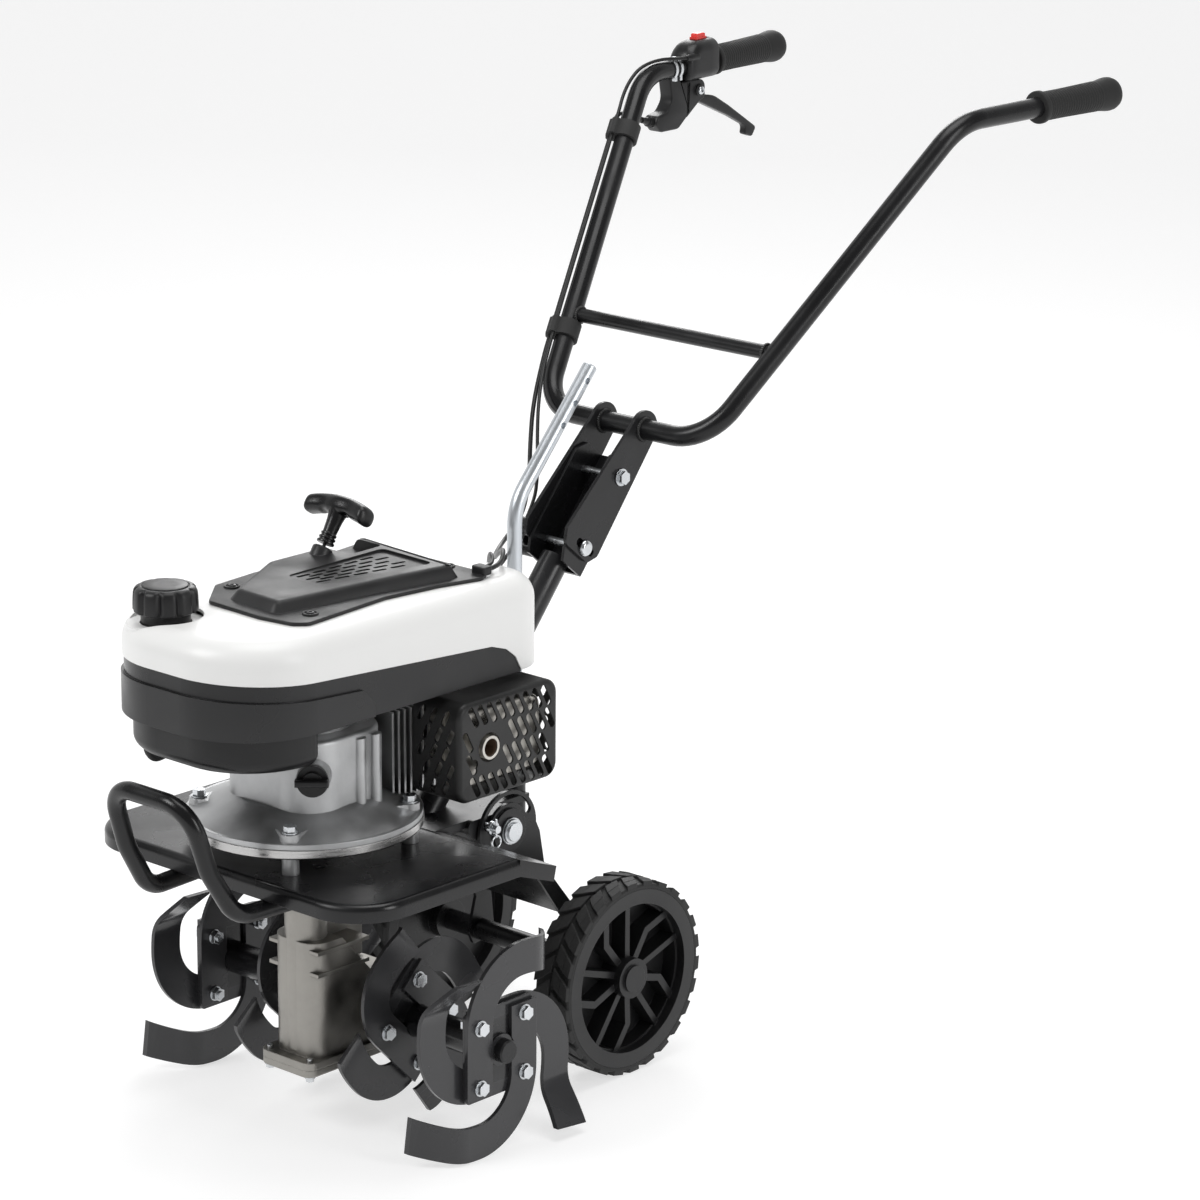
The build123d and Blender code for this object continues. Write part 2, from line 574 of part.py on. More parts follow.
with BuildPart() as muffler_guard:
    gy, gz = (guard_y0 + guard_y1) / 2, (guard_z0 + guard_z1) / 2
    with BuildSketch(xplane(76)) as s:
        with Locations((gy, gz)):
            RectangleRounded(guard_y1 - guard_y0, guard_z1 - guard_z0, 16)
    extrude(amount=guard_x - 76)
    fillet(muffler_guard.faces().sort_by(Axis.X)[-1].edges(), 6)
    with BuildSketch(xplane(75)) as s:
        with Locations((gy, gz)):
            RectangleRounded(guard_y1 - guard_y0 - 4, guard_z1 - guard_z0 - 4, 14)
    extrude(amount=guard_x - 77, mode=Mode.SUBTRACT)
    # slanted slots in the outer face and in the two side walls
    with BuildSketch(xplane(guard_x - 6)) as s:
        for row in range(4):
            for col in range(11):
                y = guard_y0 + 11 + col * 13.4 - row * 5.2
                z = guard_z0 + 15.5 + row * 25
                if guard_y0 + 13 < y < guard_y1 - 13 and sqrt((y - outlet_y) ** 2 + (z - outlet_z) ** 2) > 27:
                    with Locations(Location((y, z), 118)):
                        SlotOverall(25, 7.6)
        with Locations((outlet_y - 22, outlet_z - 14), (outlet_y + 62, outlet_z + 36)):
            Circle(5.5)
        with Locations((outlet_y, outlet_z)):
            Circle(15.5)
    extrude(amount=10, mode=Mode.SUBTRACT)
    with BuildSketch(Plane(origin=(0, guard_y0 - 1, 0), x_dir=(1, 0, 0), z_dir=(0, -1, 0))) as s:
        for row in range(5):
            for col in range(3):
                with Locations(Location((88 + col * 17 + (row % 2) * 7, guard_z0 + 16 + row * 18.5), 62)):
                    SlotOverall(18, 7)
    extrude(amount=-200, mode=Mode.SUBTRACT)
    # the silencer's port comes in on the engine's side
muffler_guard.part.label = "muffler_guard"
export_step(muffler_guard.part, "parts/muffler_guard.step")
print("muffler guard", muffler_guard.part.is_valid, len(muffler_guard.part.solids()))

with BuildPart() as carburettor:
    with Locations((-92, 66, 400)):
        Box(44, 40, 46)
    fillet(carburettor.edges().filter_by(Axis.Z), 8)
    with Locations((-92, 66, 364)):
        Cylinder(16, 28)
    with Locations((-98, 10, 420)):
        Box(46, 70, 60)
    rod((-62, 73, 400), (1, 0, 0), 8, 8, align=MAX3)
    rod((-92, 56, 366), (0, -1, 0), 3.2, 14)
    rod((-69.5, 73, 400), (1, 0, 0), 5.8, 12, align=MIN3, mode=Mode.SUBTRACT)
carburettor.part.label = "carburettor"
export_step(carburettor.part, "parts/carburettor.step")


# ---------------------------------------------------------------- shroud
def shroud_sketch(z, inset, front=shroud_front, rear=shroud_rear, tail=46.0):
    """plan outline of the engine shroud: wide round nose, tighter tail"""
    hw = shroud_hw - inset
    fr, re = front + inset, rear - inset
    rn, rt = 96 - inset, max(tail - inset, 3)
    k = sqrt(0.5)
    with BuildSketch(Plane.XY.offset(z)) as s:
        with BuildLine():
            Line((hw - rn, fr), (-hw + rn, fr))
            ThreePointArc((-hw + rn, fr), (-hw + rn - rn * k, fr + rn - rn * k), (-hw, fr + rn))
            Line((-hw, fr + rn), (-hw, re - rt))
            ThreePointArc((-hw, re - rt), (-hw + rt - rt * k, re - rt + rt * k), (-hw + rt, re))
            Line((-hw + rt, re), (hw - rt, re))
            ThreePointArc((hw - rt, re), (hw - rt + rt * k, re - rt + rt * k), (hw, re - rt))
            Line((hw, re - rt), (hw, fr + rn))
            ThreePointArc((hw, fr + rn), (hw - rn + rn * k, fr + rn - rn * k), (hw - rn, fr))
        make_face()
    return s.sketch


def side_prism(points, half=200.0):
    """prism across the machine from an outline in Y and Z"""
    with BuildSketch(xplane(-half)) as s:
        with BuildLine():
            Polyline(*points, close=True)
        make_face()
    return extrude(s.sketch, amount=2 * half, mode=Mode.PRIVATE)


band_z = 469.0
band_rear = 121.0
cover_z = 567.0            # flat top of the white cover
# joint between base and cover, with the corner at the rear of the band
joint_line = [(-400, seam_z(-400)), (74, seam_z(74)), (96, 498), (110, 487), (118, 472), (band_rear, band_z)]
raised_line = [(-400, seam_z(-400) - 17), (-111, 500), (-95, 484), (-94, band_z)]
cap_x, cap_y = -50.0, -218.0
with BuildPart() as shroud_base:
    under_joint = side_prism(joint_line + [(-400, band_z)])
    under_step = side_prism(raised_line + [(-400, band_z)])
    upper = extrude(shroud_sketch(band_z, 3.0, rear=band_rear + 10, tail=14), amount=90, mode=Mode.PRIVATE)
    lower = extrude(shroud_sketch(band_z, 0.0), amount=90, mode=Mode.PRIVATE)
    add(upper & under_joint)
    add(lower & under_step)
    extrude(shroud_sketch(band_z + 4, 6.0, rear=band_rear - 2, tail=14), amount=90, mode=Mode.SUBTRACT)
    with Locations((0, crank_y, band_z - 1)):
        Cylinder(46, 8, align=MIN3, mode=Mode.SUBTRACT)
    with Locations((cap_x, cap_y, band_z - 1)):
        Cylinder(25, 8, align=MIN3, mode=Mode.SUBTRACT)
shroud_base.part.label = "shroud_base"
export_step(shroud_base.part, "parts/shroud_base.step")
print("shroud base", shroud_base.part.is_valid, len(shroud_base.part.solids()))

tank_z = 431.0
# fuel hose from the bowl to the carburettor
hose_pts = [(-91, -209, 430.8), (-91, -209, 414), (-92, -200, 403), (-93, -178, 405), (-93, -153, 417), (-92, -110, 412), (-92, -70, 396),
            (-93, -20, 374), (-92, 42, 366)]
with BuildPart() as fuel_tank:
    extrude(shroud_sketch(tank_z, 11.0, rear=-148, tail=20), amount=band_z - tank_z)
    fillet(fuel_tank.edges().group_by(Axis.Z)[0], 12)
    # filler neck up to the cap
    with Locations((cap_x, cap_y, band_z)):
        Cylinder(24, 90.7, align=MIN3)
    extrude(shroud_sketch(tank_z + 6, 17.0, rear=-148, tail=20), amount=band_z - tank_z - 9, mode=Mode.SUBTRACT)
    with Locations((cap_x, cap_y, band_z - 5)):
        Cylinder(19, 120, align=MIN3, mode=Mode.SUBTRACT)
    # hose spigot under the bowl
    rod((hose_pts[0][0], hose_pts[0][1], tank_z + 6), (0, 0, -1), 3.2, 15)
fuel_tank.part.label = "fuel_tank"
export_step(fuel_tank.part, "parts/fuel_tank.step")
print("tank", fuel_tank.part.is_valid, len(fuel_tank.part.solids()))

with BuildPart() as top_cover:
    extrude(shroud_sketch(band_z + 2, 1.5), amount=cover_z - band_z - 2)
    fillet(top_cover.edges().group_by(Axis.Z)[-1], 26)
    extrude(shroud_sketch(band_z - 5, 4.5), amount=cover_z - band_z - 24, mode=Mode.SUBTRACT)
    extrude(shroud_sketch(band_z - 5, 26.0), amount=cover_z - band_z + 2, mode=Mode.SUBTRACT)
    add(side_prism(joint_line + [(band_rear, 300), (-400, 300)]), mode=Mode.SUBTRACT)
    # dish and hole for the filler, opening under the starter panel
    with Locations((cap_x, cap_y, cover_z - 7)):
        Cylinder(38, 40, align=MIN3, mode=Mode.SUBTRACT)
    with Locations((cap_x, cap_y, cover_z - 12)):
        Cylinder(40, 5, align=MIN3)
    with Locations((cap_x, cap_y, cover_z - 30)):
        Cylinder(26, 60, align=MIN3, mode=Mode.SUBTRACT)
    with BuildSketch(Plane.XY.offset(cover_z - 20)) as s:
        with Locations((-8, -30)):
            RectangleRounded(120, 200, 20)
    extrude(amount=60, mode=Mode.SUBTRACT)
top_cover.part.label = "top_cover"
export_step(top_cover.part, "parts/top_cover.step")
print("top cover", top_cover.part.is_valid, len(top_cover.part.solids()))

# black panel over the starter, with its raised plateau, vents, rope eyelet and cable gland
panel_pts = [(-46, -164), (30, -168), (72, -162), (84, -150), (80, -110), (72, -32), (80, 36), (93, 88), (84, 104),
             (-84, 104), (-93, 88), (-86, 30), (-90, -60), (-84, -120)]
plateau_pts = [(-30, -150), (38, -154), (46, -100), (58, -30), (78, 72), (-76, 84), (-84, 10), (-86, -50)]
pull_d = Vector(0, 0.55, 0.835).normalized()
eyelet = Vector(-62, 10, 585)
with BuildPart() as starter_cover:
    with BuildSketch(Plane.XY.offset(cover_z)) as s:
        with BuildLine():
            Polyline(*panel_pts, close=True)
        make_face()
        fillet(s.vertices(), 5)
    extrude(amount=4)
    with BuildSketch(Plane.XY.offset(cover_z + 3)) as s:
        with BuildLine():
            Polyline(*plateau_pts, close=True)
        make_face()
    extrude(amount=15, taper=35)
    # hollow underneath
    with BuildSketch(Plane.XY.offset(cover_z - 1)) as s:
        with Locations((-8, -30)):
            RectangleRounded(100, 180, 16)
    extrude(amount=4, mode=Mode.SUBTRACT)
    with BuildSketch(Plane.XY.offset(cover_z + 2)) as s:
        with Locations((-8, -26)):
            RectangleRounded(68, 128, 12)
    extrude(amount=9.5, mode=Mode.SUBTRACT)
    # spindle of the rope pulley
    with Locations((0, crank_y, 534)):
        Cylinder(13, cover_z + 14 - 534, align=MIN3)
    with Locations((0, crank_y, 510)):
        Cylinder(5.95, 40, align=MIN3)
    with Locations((0, crank_y, 508)):
        Cylinder(9, 4, align=MIN3)
    # vent slots
    with BuildSketch(Plane.XY.offset(cover_z)) as s:
        for row in range(5):
            for col in range(9):
                x = -34 + row * 12.5
                y = -66 + col * 14.5 + (row % 2) * 7
                if x < 24 + 0.2 * y:
                    with Locations(Location((x, y), 90)):
                        SlotOverall(11, 3.6)
    extrude(amount=30, mode=Mode.SUBTRACT)
    # eyelet for the rope, gland for the two cables
    with Locations((-56, 46, cover_z + 12.5)):
        Box(48, 40, 14, mode=Mode.SUBTRACT)
    rod(eyelet - pull_d * 12, pull_d, 11, 16)
    rod(eyelet - pull_d * 40, pull_d, 3, 60, mode=Mode.SUBTRACT)
    with Locations((80.5, 99, cover_z + 7.5)):
        Box(20, 14, 9)
starter_cover.part.label = "starter_cover"
export_step(starter_cover.part, "parts/starter_cover.step")
print("starter cover", starter_cover.part.is_valid, len(starter_cover.part.solids()))

with BuildPart() as fuel_cap:
    with BuildSketch(Plane.XY.offset(cover_z + 4)) as s:
        with Locations((cap_x, cap_y)):
            Circle(28.5)
            with PolarLocations(28, 8):
                Circle(5.5)
    extrude(amount=25)
    fillet(fuel_cap.edges().group_by(Axis.Z)[-1], 3)
    with Locations((cap_x, cap_y, cover_z + 29)):
        Cylinder(24.5, 2.5, align=MIN3)
    # plain collar under the lobed skirt
    with Locations((cap_x, cap_y, cover_z - 7)):
        Cylinder(25.0, 13, align=MIN3)
    with Locations((cap_x, cap_y, cover_z - 22)):
        Cylinder(18.95, 20, align=MIN3)
    with Locations((cap_x, cap_y, cover_z - 23)):
        Cylinder(14, 20, align=MIN3, mode=Mode.SUBTRACT)
fuel_cap.part.label = "fuel_cap"
export_step(fuel_cap.part, "parts/fuel_cap.step")

with BuildPart() as fuel_hose:
    with BuildLine() as hose_line:
        FilletPolyline(*hose_pts, radius=[12, 14, 40, 45, 70, 100, 70])
    with BuildSketch(Plane(origin=hose_line.line @ 0, z_dir=hose_line.line % 0)) as s:
        Circle(4.6)
        Circle(3.3, mode=Mode.SUBTRACT)
    sweep(path=hose_line.line)
fuel_hose.part.label = "fuel_hose"
export_step(fuel_hose.part, "parts/fuel_hose.step")
print("hose length", hose_line.wires()[0].length)
print("hose", fuel_hose.part.is_valid, len(fuel_hose.part.solids()), fuel_hose.part.volume / (hose_line.wires()[0].length * pi * (4.6**2 - 3.3**2)))

with BuildPart() as oil_cap:
    rod(oil_p + oil_d * 28.3, oil_d, 16, 6)
    rod(oil_p + oil_d * 28.5, oil_d, 12.12, 16, align=MAX3)
    rod(oil_p + oil_d * 30, oil_d, 10, 9)
    with Locations(Plane(origin=oil_p + oil_d * 34, x_dir=(0.74, 0.67, 0), z_dir=oil_d).location):
        Box(34, 7, 15, align=MIN3)
    fillet(oil_cap.edges().filter_by(lambda e: (e.center() - oil_p).dot(oil_d) > 48.5), 2)
oil_cap.part.label = "oil_cap"
export_step(oil_cap.part, "parts/oil_cap.step")

with BuildPart() as throttle_arm:
    rod(arm_p + Vector(0, 8, 0), (0, -1, 0), 3.95, 42)
    with BuildSketch(Plane(origin=(arm_p.X, -161, arm_p.Z), x_dir=(1, 0, 0), z_dir=(0, -1, 0))) as s:
        SlotCenterToCenter(16, 15, rotation=80)
    plate = extrude(s.sketch, amount=3, mode=Mode.PRIVATE)
    add(plate.moved(Location((-1.4, 0, 7.9))))
    hexagon((arm_p.X, -164, arm_p.Z), (0, -1, 0), 11, 6)
throttle_arm.part.label = "throttle_arm"
export_step(throttle_arm.part, "parts/throttle_arm.step")

# ---------------------------------------------------------------- starter
grip_c = eyelet + pull_d * 50
with BuildPart() as starter_handle:
    with Locations(Plane(origin=eyelet + pull_d * 8, z_dir=pull_d).location):
        Cone(9.5, 7.5, 8, align=MIN3)
        with Locations((0, 0, 6)):
            Cylinder(7.5, 37, align=MIN3)
    with BuildSketch(Plane(origin=grip_c, x_dir=(0, pull_d.Z, -pull_d.Y), z_dir=(1, 0, 0))) as s:
        RectangleRounded(23, 19, 8)
    extrude(amount=43, both=True)
    fillet(starter_handle.faces().filter_by(Axis.X).sort_by(Axis.X)[-1].edges(), 5)
    fillet(starter_handle.faces().filter_by(Axis.X).sort_by(Axis.X)[0].edges(), 5)
    rod(eyelet, pull_d, 2.0, 16, mode=Mode.SUBTRACT)
starter_handle.part.label = "starter_handle"
export_step(starter_handle.part, "parts/starter_handle.step")

with BuildPart() as starter_rope:
    rod(eyelet - pull_d * 10, pull_d, 1.9, 25.5)
starter_rope.part.label = "starter_rope"
export_step(starter_rope.part, "parts/starter_rope.step")

with BuildPart() as starter_pulley:
    with Locations((0, crank_y, 514)):
        Cylinder(42, 14, align=MIN3)
    with BuildSketch(Plane(origin=(0, crank_y, 0), x_dir=(1, 0, 0), z_dir=(0, -1, 0))) as s:
        with Locations((42, 521)):
            Rectangle(14, 8)
    revolve(s.sketch, axis=Axis((0, crank_y, 0), (0, 0, 1)), mode=Mode.SUBTRACT)
    with Locations((0, crank_y, 512.4)):
        Cylinder(12, 21.2, align=MIN3)
        Cylinder(6.0, 30, align=MIN3, mode=Mode.SUBTRACT)
starter_pulley.part.label = "starter_pulley"
export_step(starter_pulley.part, "parts/starter_pulley.step")

# ---------------------------------------------------------------- crankshaft, flywheel, clutch
with BuildPart() as crankshaft:
    with Locations((0, crank_y, 278)):
        Cylinder(10, 42, align=MIN3)
    with Locations((0, crank_y, 318.5)):
        Cylinder(12.5, 60, align=MIN3)
    with Locations((0, crank_y, 410)):
        Cylinder(12.5, 60, align=MIN3)
    with Locations((0, crank_y, 469)):
        Cylinder(10, 37, align=MIN3)
    for z in (364, 410):
        with Locations((0, crank_y + 6, z)):
            Cylinder(34, 12, align=MIN3)
    with Locations((0, crank_y + 19, 370)):
        Cylinder(9, 46, align=MIN3)
crankshaft.part.label = "crankshaft"
export_step(crankshaft.part, "parts/crankshaft.step")

with BuildPart() as flywheel:
    with Locations((0, crank_y, 478)):
        Cylinder(80, 14, align=MIN3)
        Cylinder(26, 25, align=MIN3)
    for i in range(12):
        with Locations(Location((0, crank_y, 490), (0, 0, 30 * i))):
            with Locations((60, 0, 0)):
                Box(34, 3, 15, align=MIN3)
    with Locations((0, crank_y, 470)):
        Cylinder(10.02, 60, align=MIN3, mode=Mode.SUBTRACT)
flywheel.part.label = "flywheel"
export_step(flywheel.part, "parts/flywheel.step")

with BuildPart() as clutch_shoes:
    with Locations((0, crank_y, 280)):
        Cylinder(41, 16, align=MIN3)
        Cylinder(30, 16, align=MIN3, mode=Mode.SUBTRACT)
        Cylinder(16, 16, align=MIN3)
        Box(62, 14, 16, align=MIN3)
        Cylinder(10.02, 16, align=MIN3, mode=Mode.SUBTRACT)
    with Locations((0, crank_y, 280)):
        with Locations((0, 36, 0), (0, -36, 0)):
            Box(5, 20, 16, align=MIN3, mode=Mode.SUBTRACT)
clutch_shoes.part.label = "clutch_shoes"
export_step(clutch_shoes.part, "parts/clutch_shoes.step")
print("shoes", len(clutch_shoes.part.solids()))

with BuildPart() as clutch_drum:
    with Locations((0, crank_y, 272)):
        Cylinder(46, 28, align=MIN3)
    with Locations((0, crank_y, 275)):
        Cylinder(43, 30, align=MIN3, mode=Mode.SUBTRACT)
    with Locations((0, crank_y, 268.8)):
        Cylinder(14, 5, align=MIN3)
        Cylinder(7.47, 20, align=MIN3, mode=Mode.SUBTRACT)
clutch_drum.part.label = "clutch_drum"
export_step(clutch_drum.part, "parts/clutch_drum.step")

# ---------------------------------------------------------------- rear bracket, post, drag bar
slot_r = 34.0              # radius of the arc slot in the wheel arm's ears
lock_a = radians(160)
lock_y, lock_z = arm_y + slot_r * cos(lock_a), arm_z + slot_r * sin(lock_a)
with BuildPart() as rear_bracket:
    with Locations((0, 0, 290)):
        Box(117, 165, 8, align=(Align.CENTER, Align.MIN, Align.MIN))
    with Locations((bar_x, 160, 290)):
        Box(36, 52, 8, align=(Align.CENTER, Align.MIN, Align.MIN))
    rod((-64, arm_y, arm_z), (1, 0, 0), 17, 128)
    for sx in (1, -1):
        with BuildSketch(xplane(min(sx * 58, sx * 64))) as s:
            with BuildLine():
                Polyline((96, 298), (176, 298), (176, 262), (150, 246), (126, 262), (96, 284), close=True)
            make_face()
            fillet(s.vertices(), 8)
        extrude(amount=6)
    with Locations((bar_x, bar_y, 256)):
        Cylinder(12, 90, align=MIN3)
        with Locations((0, 0, 6)):
            Cylinder(8.4, 90, align=MIN3, mode=Mode.SUBTRACT)
    rod((-70, arm_y, arm_z), (1, 0, 0), 10.0, 140, mode=Mode.SUBTRACT)
rear_bracket.part.label = "rear_bracket"
export_step(rear_bracket.part, "parts/rear_bracket.step")
print("bracket", len(rear_bracket.part.solids()))


def head_plane(x):
    """plane square to X at the handle pivot: its x runs to the rear, its y up along the post"""
    return Plane(origin=(x, pivot_y, pivot_z), x_dir=post_n, z_dir=(1, 0, 0))


post_top = 106.0
clamp_d = 88.0
clamp = pivot - post_d * clamp_d
with BuildPart() as main_post:
    foot = (pivot_z - 298) / post_d.Z
    rod(pivot - post_d * (foot + 30), post_d, 16, foot + 30 - post_top)
    rod(pivot - post_d * (foot + 40), post_d, 13.4, foot + 30 - post_top, mode=Mode.SUBTRACT)
    with Locations((0, 100, 248)):
        Box(200, 200, 100, mode=Mode.SUBTRACT)
    # folded head: floor behind, two walls beside
    with BuildSketch(head_plane(-26.5)) as s:
        with BuildLine():
            Polyline((15.4, -114), (19.5, -114), (19.5, 26), (15.4, 26), close=True)
        make_face()
    extrude(amount=53)
    for x in (-26.5, 23.0):
        with BuildSketch(head_plane(x)) as s:
            with BuildLine():
                Polyline((-24, -100), (-16, -114), (19.5, -114), (19.5, 26), (-12, 26), (-24, 12), close=True)
            make_face()
        extrude(amount=3.5)
    for at in (pivot, clamp):
        rod(at - Vector(40, 0, 0), (1, 0, 0), 4.02, 80, mode=Mode.SUBTRACT)
main_post.part.label = "main_post"
export_step(main_post.part, "parts/main_post.step")
print("post", len(main_post.part.solids()), main_post.part.is_valid)

with BuildPart() as pivot_bolt:
    rod((-40, pivot_y, pivot_z), (1, 0, 0), 4.0, 72)
    flange_bolt((31.3, pivot_y, pivot_z), (1, 0, 0), 4.0, 10, 13, 5.5, 9.5)
    rod((-31.3, pivot_y, pivot_z), (-1, 0, 0), 9.0, 1.6)
    hexagon((-32.9, pivot_y, pivot_z), (-1, 0, 0), 13, 6.5)
pivot_bolt.part.label = "pivot_bolt"
export_step(pivot_bolt.part, "parts/pivot_bolt.step")

with BuildPart() as clamp_bolt:
    rod((-52, clamp.Y, clamp.Z), (1, 0, 0), 4.0, 84)
    rod((31.3, clamp.Y, clamp.Z), (1, 0, 0), 9.0, 5)
    fillet(clamp_bolt.edges().sort_by(Axis.X)[-1], 4.5)
clamp_bolt.part.label = "clamp_bolt"
export_step(clamp_bolt.part, "parts/clamp_bolt.step")

with BuildPart() as star_knob:
    with BuildSketch(xplane(-57, clamp.Y, clamp.Z)) as s:
        Circle(17)
        with PolarLocations(17, 6):
            Circle(6.5)
    extrude(amount=20)
    rod((-38, clamp.Y, clamp.Z), (1, 0, 0), 11, 6.6)
    rod((-53, clamp.Y, clamp.Z), (1, 0, 0), 4.05, 40, mode=Mode.SUBTRACT)
star_knob.part.label = "star_knob"
export_step(star_knob.part, "parts/star_knob.step")

bar_bend_z, bar_end = 612.0, (324.0, 742.0)
with BuildPart() as depth_bar:
    with BuildLine() as bar_line:
        FilletPolyline((bar_x, bar_y, 262.2), (bar_x, bar_y, bar_bend_z), (bar_x, *bar_end), radius=60)
    with BuildSketch(Plane(origin=bar_line.line @ 0, z_dir=(0, 0, 1))) as s:
        Circle(bar_r)
    sweep(path=bar_line.line)
    up = Vector(0, bar_end[0] - bar_y, bar_end[1] - bar_bend_z).normalized()
    for t in (18, 46, 74):
        rod(Vector(bar_x, *bar_end) - up * t - Vector(20, 0, 0), (1, 0, 0), 3.4, 40, mode=Mode.SUBTRACT)
    chamfer(depth_bar.edges().filter_by(GeomType.CIRCLE).sort_by(Axis.Z)[-1], 1)
depth_bar.part.label = "depth_bar"
export_step(depth_bar.part, "parts/depth_bar.step")
print("bar", len(depth_bar.part.solids()), depth_bar.part.is_valid)

# ---------------------------------------------------------------- transport wheels
arm_u = Vector(0, 0.63, -0.7766)             # down along the arm
arm_v = Vector(0, 0.7766, 0.63)              # square to it, rear side


def arm_plane(x):
    """plane square to X at the arm's pivot: its x runs down along the arm, its y to the rear side"""
    return Plane(origin=(x, arm_y, arm_z), x_dir=arm_u, z_dir=(1, 0, 0))


axle_rel = Vector(0, wheel_y - arm_y, wheel_z - arm_z)
axle_uv = (axle_rel.dot(arm_u), axle_rel.dot(arm_v))
ear_r = 43.0
with BuildPart() as wheel_arm:
    for x in (-70.0, 66.0):
        with BuildSketch(arm_plane(x)) as s:
            with BuildLine():
                Polyline((-5, 40), (40, 30), (78, 9.6), (172, 9.6), (206, -12), (212, -30), (200, -48), (184, -44), (160, -10),
                         (78, -5), (40, -26), (-5, -40), close=True)
            make_face()
            fillet(s.vertices(), 3)
            Circle(ear_r)
        extrude(amount=4)
    # inner disc standing proud of the ear
    rod((70, arm_y, arm_z), (1, 0, 0), 24, 3)
    rod((-70, arm_y, arm_z), (-1, 0, 0), 24, 3)
    # web between the ears
    with BuildSketch(arm_plane(-66)) as s:
        with BuildLine():
            Polyline((80, 6.4), (172, 6.4), (172, 9.6), (80, 9.6), close=True)
        make_face()
    extrude(amount=132)
    # tube for the axle
    rod((-66, wheel_y, wheel_z), (1, 0, 0), 12, 132)
    rod((-80, wheel_y, wheel_z), (1, 0, 0), 7.97, 160, mode=Mode.SUBTRACT)
    rod((-80, arm_y, arm_z), (1, 0, 0), 10.0, 160, mode=Mode.SUBTRACT)
    # arc slots for the locking pins
    for x in (-71.0, 65.0):
        with BuildSketch(xplane(x, arm_y, arm_z)) as s:
            SlotArc(arc=Edge.make_circle(slot_r, start_angle=28, end_angle=161), height=9.4)
        extrude(amount=6, mode=Mode.SUBTRACT)
wheel_arm.part.label = "wheel_arm"
export_step(wheel_arm.part, "parts/wheel_arm.step")
print("arm", len(wheel_arm.part.solids()), wheel_arm.part.is_valid)

with BuildPart() as pivot_pins:
    rod((-81, arm_y, arm_z), (1, 0, 0), 9.95, 162)
    for sx in (1, -1):
        rod((sx * 73.6, arm_y, arm_z), (sx, 0, 0), 14.5, 2.4)
        rod((sx * 77.2, arm_y, arm_z), (sx, 0, 0), 13, 1.2)
        # locking pin with its head and its spring clip
        rod((sx * 64, lock_y, lock_z), (sx, 0, 0), 4.2, 22)
        rod((sx * 76, lock_y, lock_z), (sx, 0, 0), 7.5, 4)
        rod((sx * 83, lock_y, lock_z - 9), (0, 0, 1), 1.2, 20)
        with Locations(Plane(origin=(sx * 83, lock_y, lock_z - 14), z_dir=(1, 0, 0)).location):
            Torus(6.5, 1.2)
pivot_pins.part.label = "pivot_pins"
export_step(pivot_pins.part, "parts/pivot_pins.step")
print("pins", len(pivot_pins.part.solids()))

with BuildPart() as wheel_axle:
    rod((-157, wheel_y, wheel_z), (1, 0, 0), 7.95, 314)
    for sx in (1, -1):
        rod((sx * 70, wheel_y, wheel_z), (sx, 0, 0), 11.5, 41.4)
wheel_axle.part.label = "wheel_axle"
export_step(wheel_axle.part, "parts/wheel_axle.step")

rim_r = 98.0
wheel_mid = (wheel_in + wheel_out) / 2


def tyre_body(sx):
    x0 = min(sx * wheel_in, sx * wheel_out)
    rod((x0, wheel_y, wheel_z), (1, 0, 0), wheel_r, wheel_out - wheel_in)
    chamfer(edges().filter_by(GeomType.CIRCLE), 4)
    rod((x0 - 1, wheel_y, wheel_z), (1, 0, 0), rim_r + 0.02, wheel_out - wheel_in + 2, mode=Mode.SUBTRACT)


def rim_body(sx):
    """ring, dished disc, hub and five pairs of one straight and one cranked spoke"""
    def at(x, depth):
        return min(sx * x, sx * (x + depth))
    rod((at(wheel_in, 47), wheel_y, wheel_z), (1, 0, 0), rim_r, 47)
    rod((at(148, 20), wheel_y, wheel_z), (1, 0, 0), 82, 20, mode=Mode.SUBTRACT)
    rod((at(130, 18.1), wheel_y, wheel_z), (1, 0, 0), 80, 18.1, mode=Mode.SUBTRACT)
    rod((at(100, 25), wheel_y, wheel_z), (1, 0, 0), 84, 25, mode=Mode.SUBTRACT)
    with BuildSketch(xplane(at(128, 22), wheel_y, wheel_z)) as s:
        for k in range(5):
            a = radians(90 + 72 * k)
            with Locations(Location((0, 0), 90 + 72 * k)):
                with Locations((52, 0)):
                    Rectangle(62, 7)
            # cranked spoke: out to a knee, then across to the ring
            p0 = (18 * cos(a + 0.63), 18 * sin(a + 0.63))
            p1 = (54 * cos(a + 0.66), 54 * sin(a + 0.66))
            p2 = (82 * cos(a + 0.42), 82 * sin(a + 0.42))
            for q0, q1 in ((p0, p1), (p1, p2)):
                ang = degrees(atan2(q1[1] - q0[1], q1[0] - q0[0]))
                ln = sqrt((q1[0] - q0[0]) ** 2 + (q1[1] - q0[1]) ** 2)
                with Locations(Location(((q0[0] + q1[0]) / 2, (q0[1] + q1[1]) / 2), ang)):
                    SlotOverall(ln + 8, 8)
    extrude(s.sketch, amount=22)
    rod((at(wheel_in, 47), wheel_y, wheel_z), (1, 0, 0), 22, 47)
    rod((at(158, 4), wheel_y, wheel_z), (1, 0, 0), 15, 4)
    rod((at(wheel_in - 1, 46.3), wheel_y, wheel_z), (1, 0, 0), 8.0, 46.3, mode=Mode.SUBTRACT)


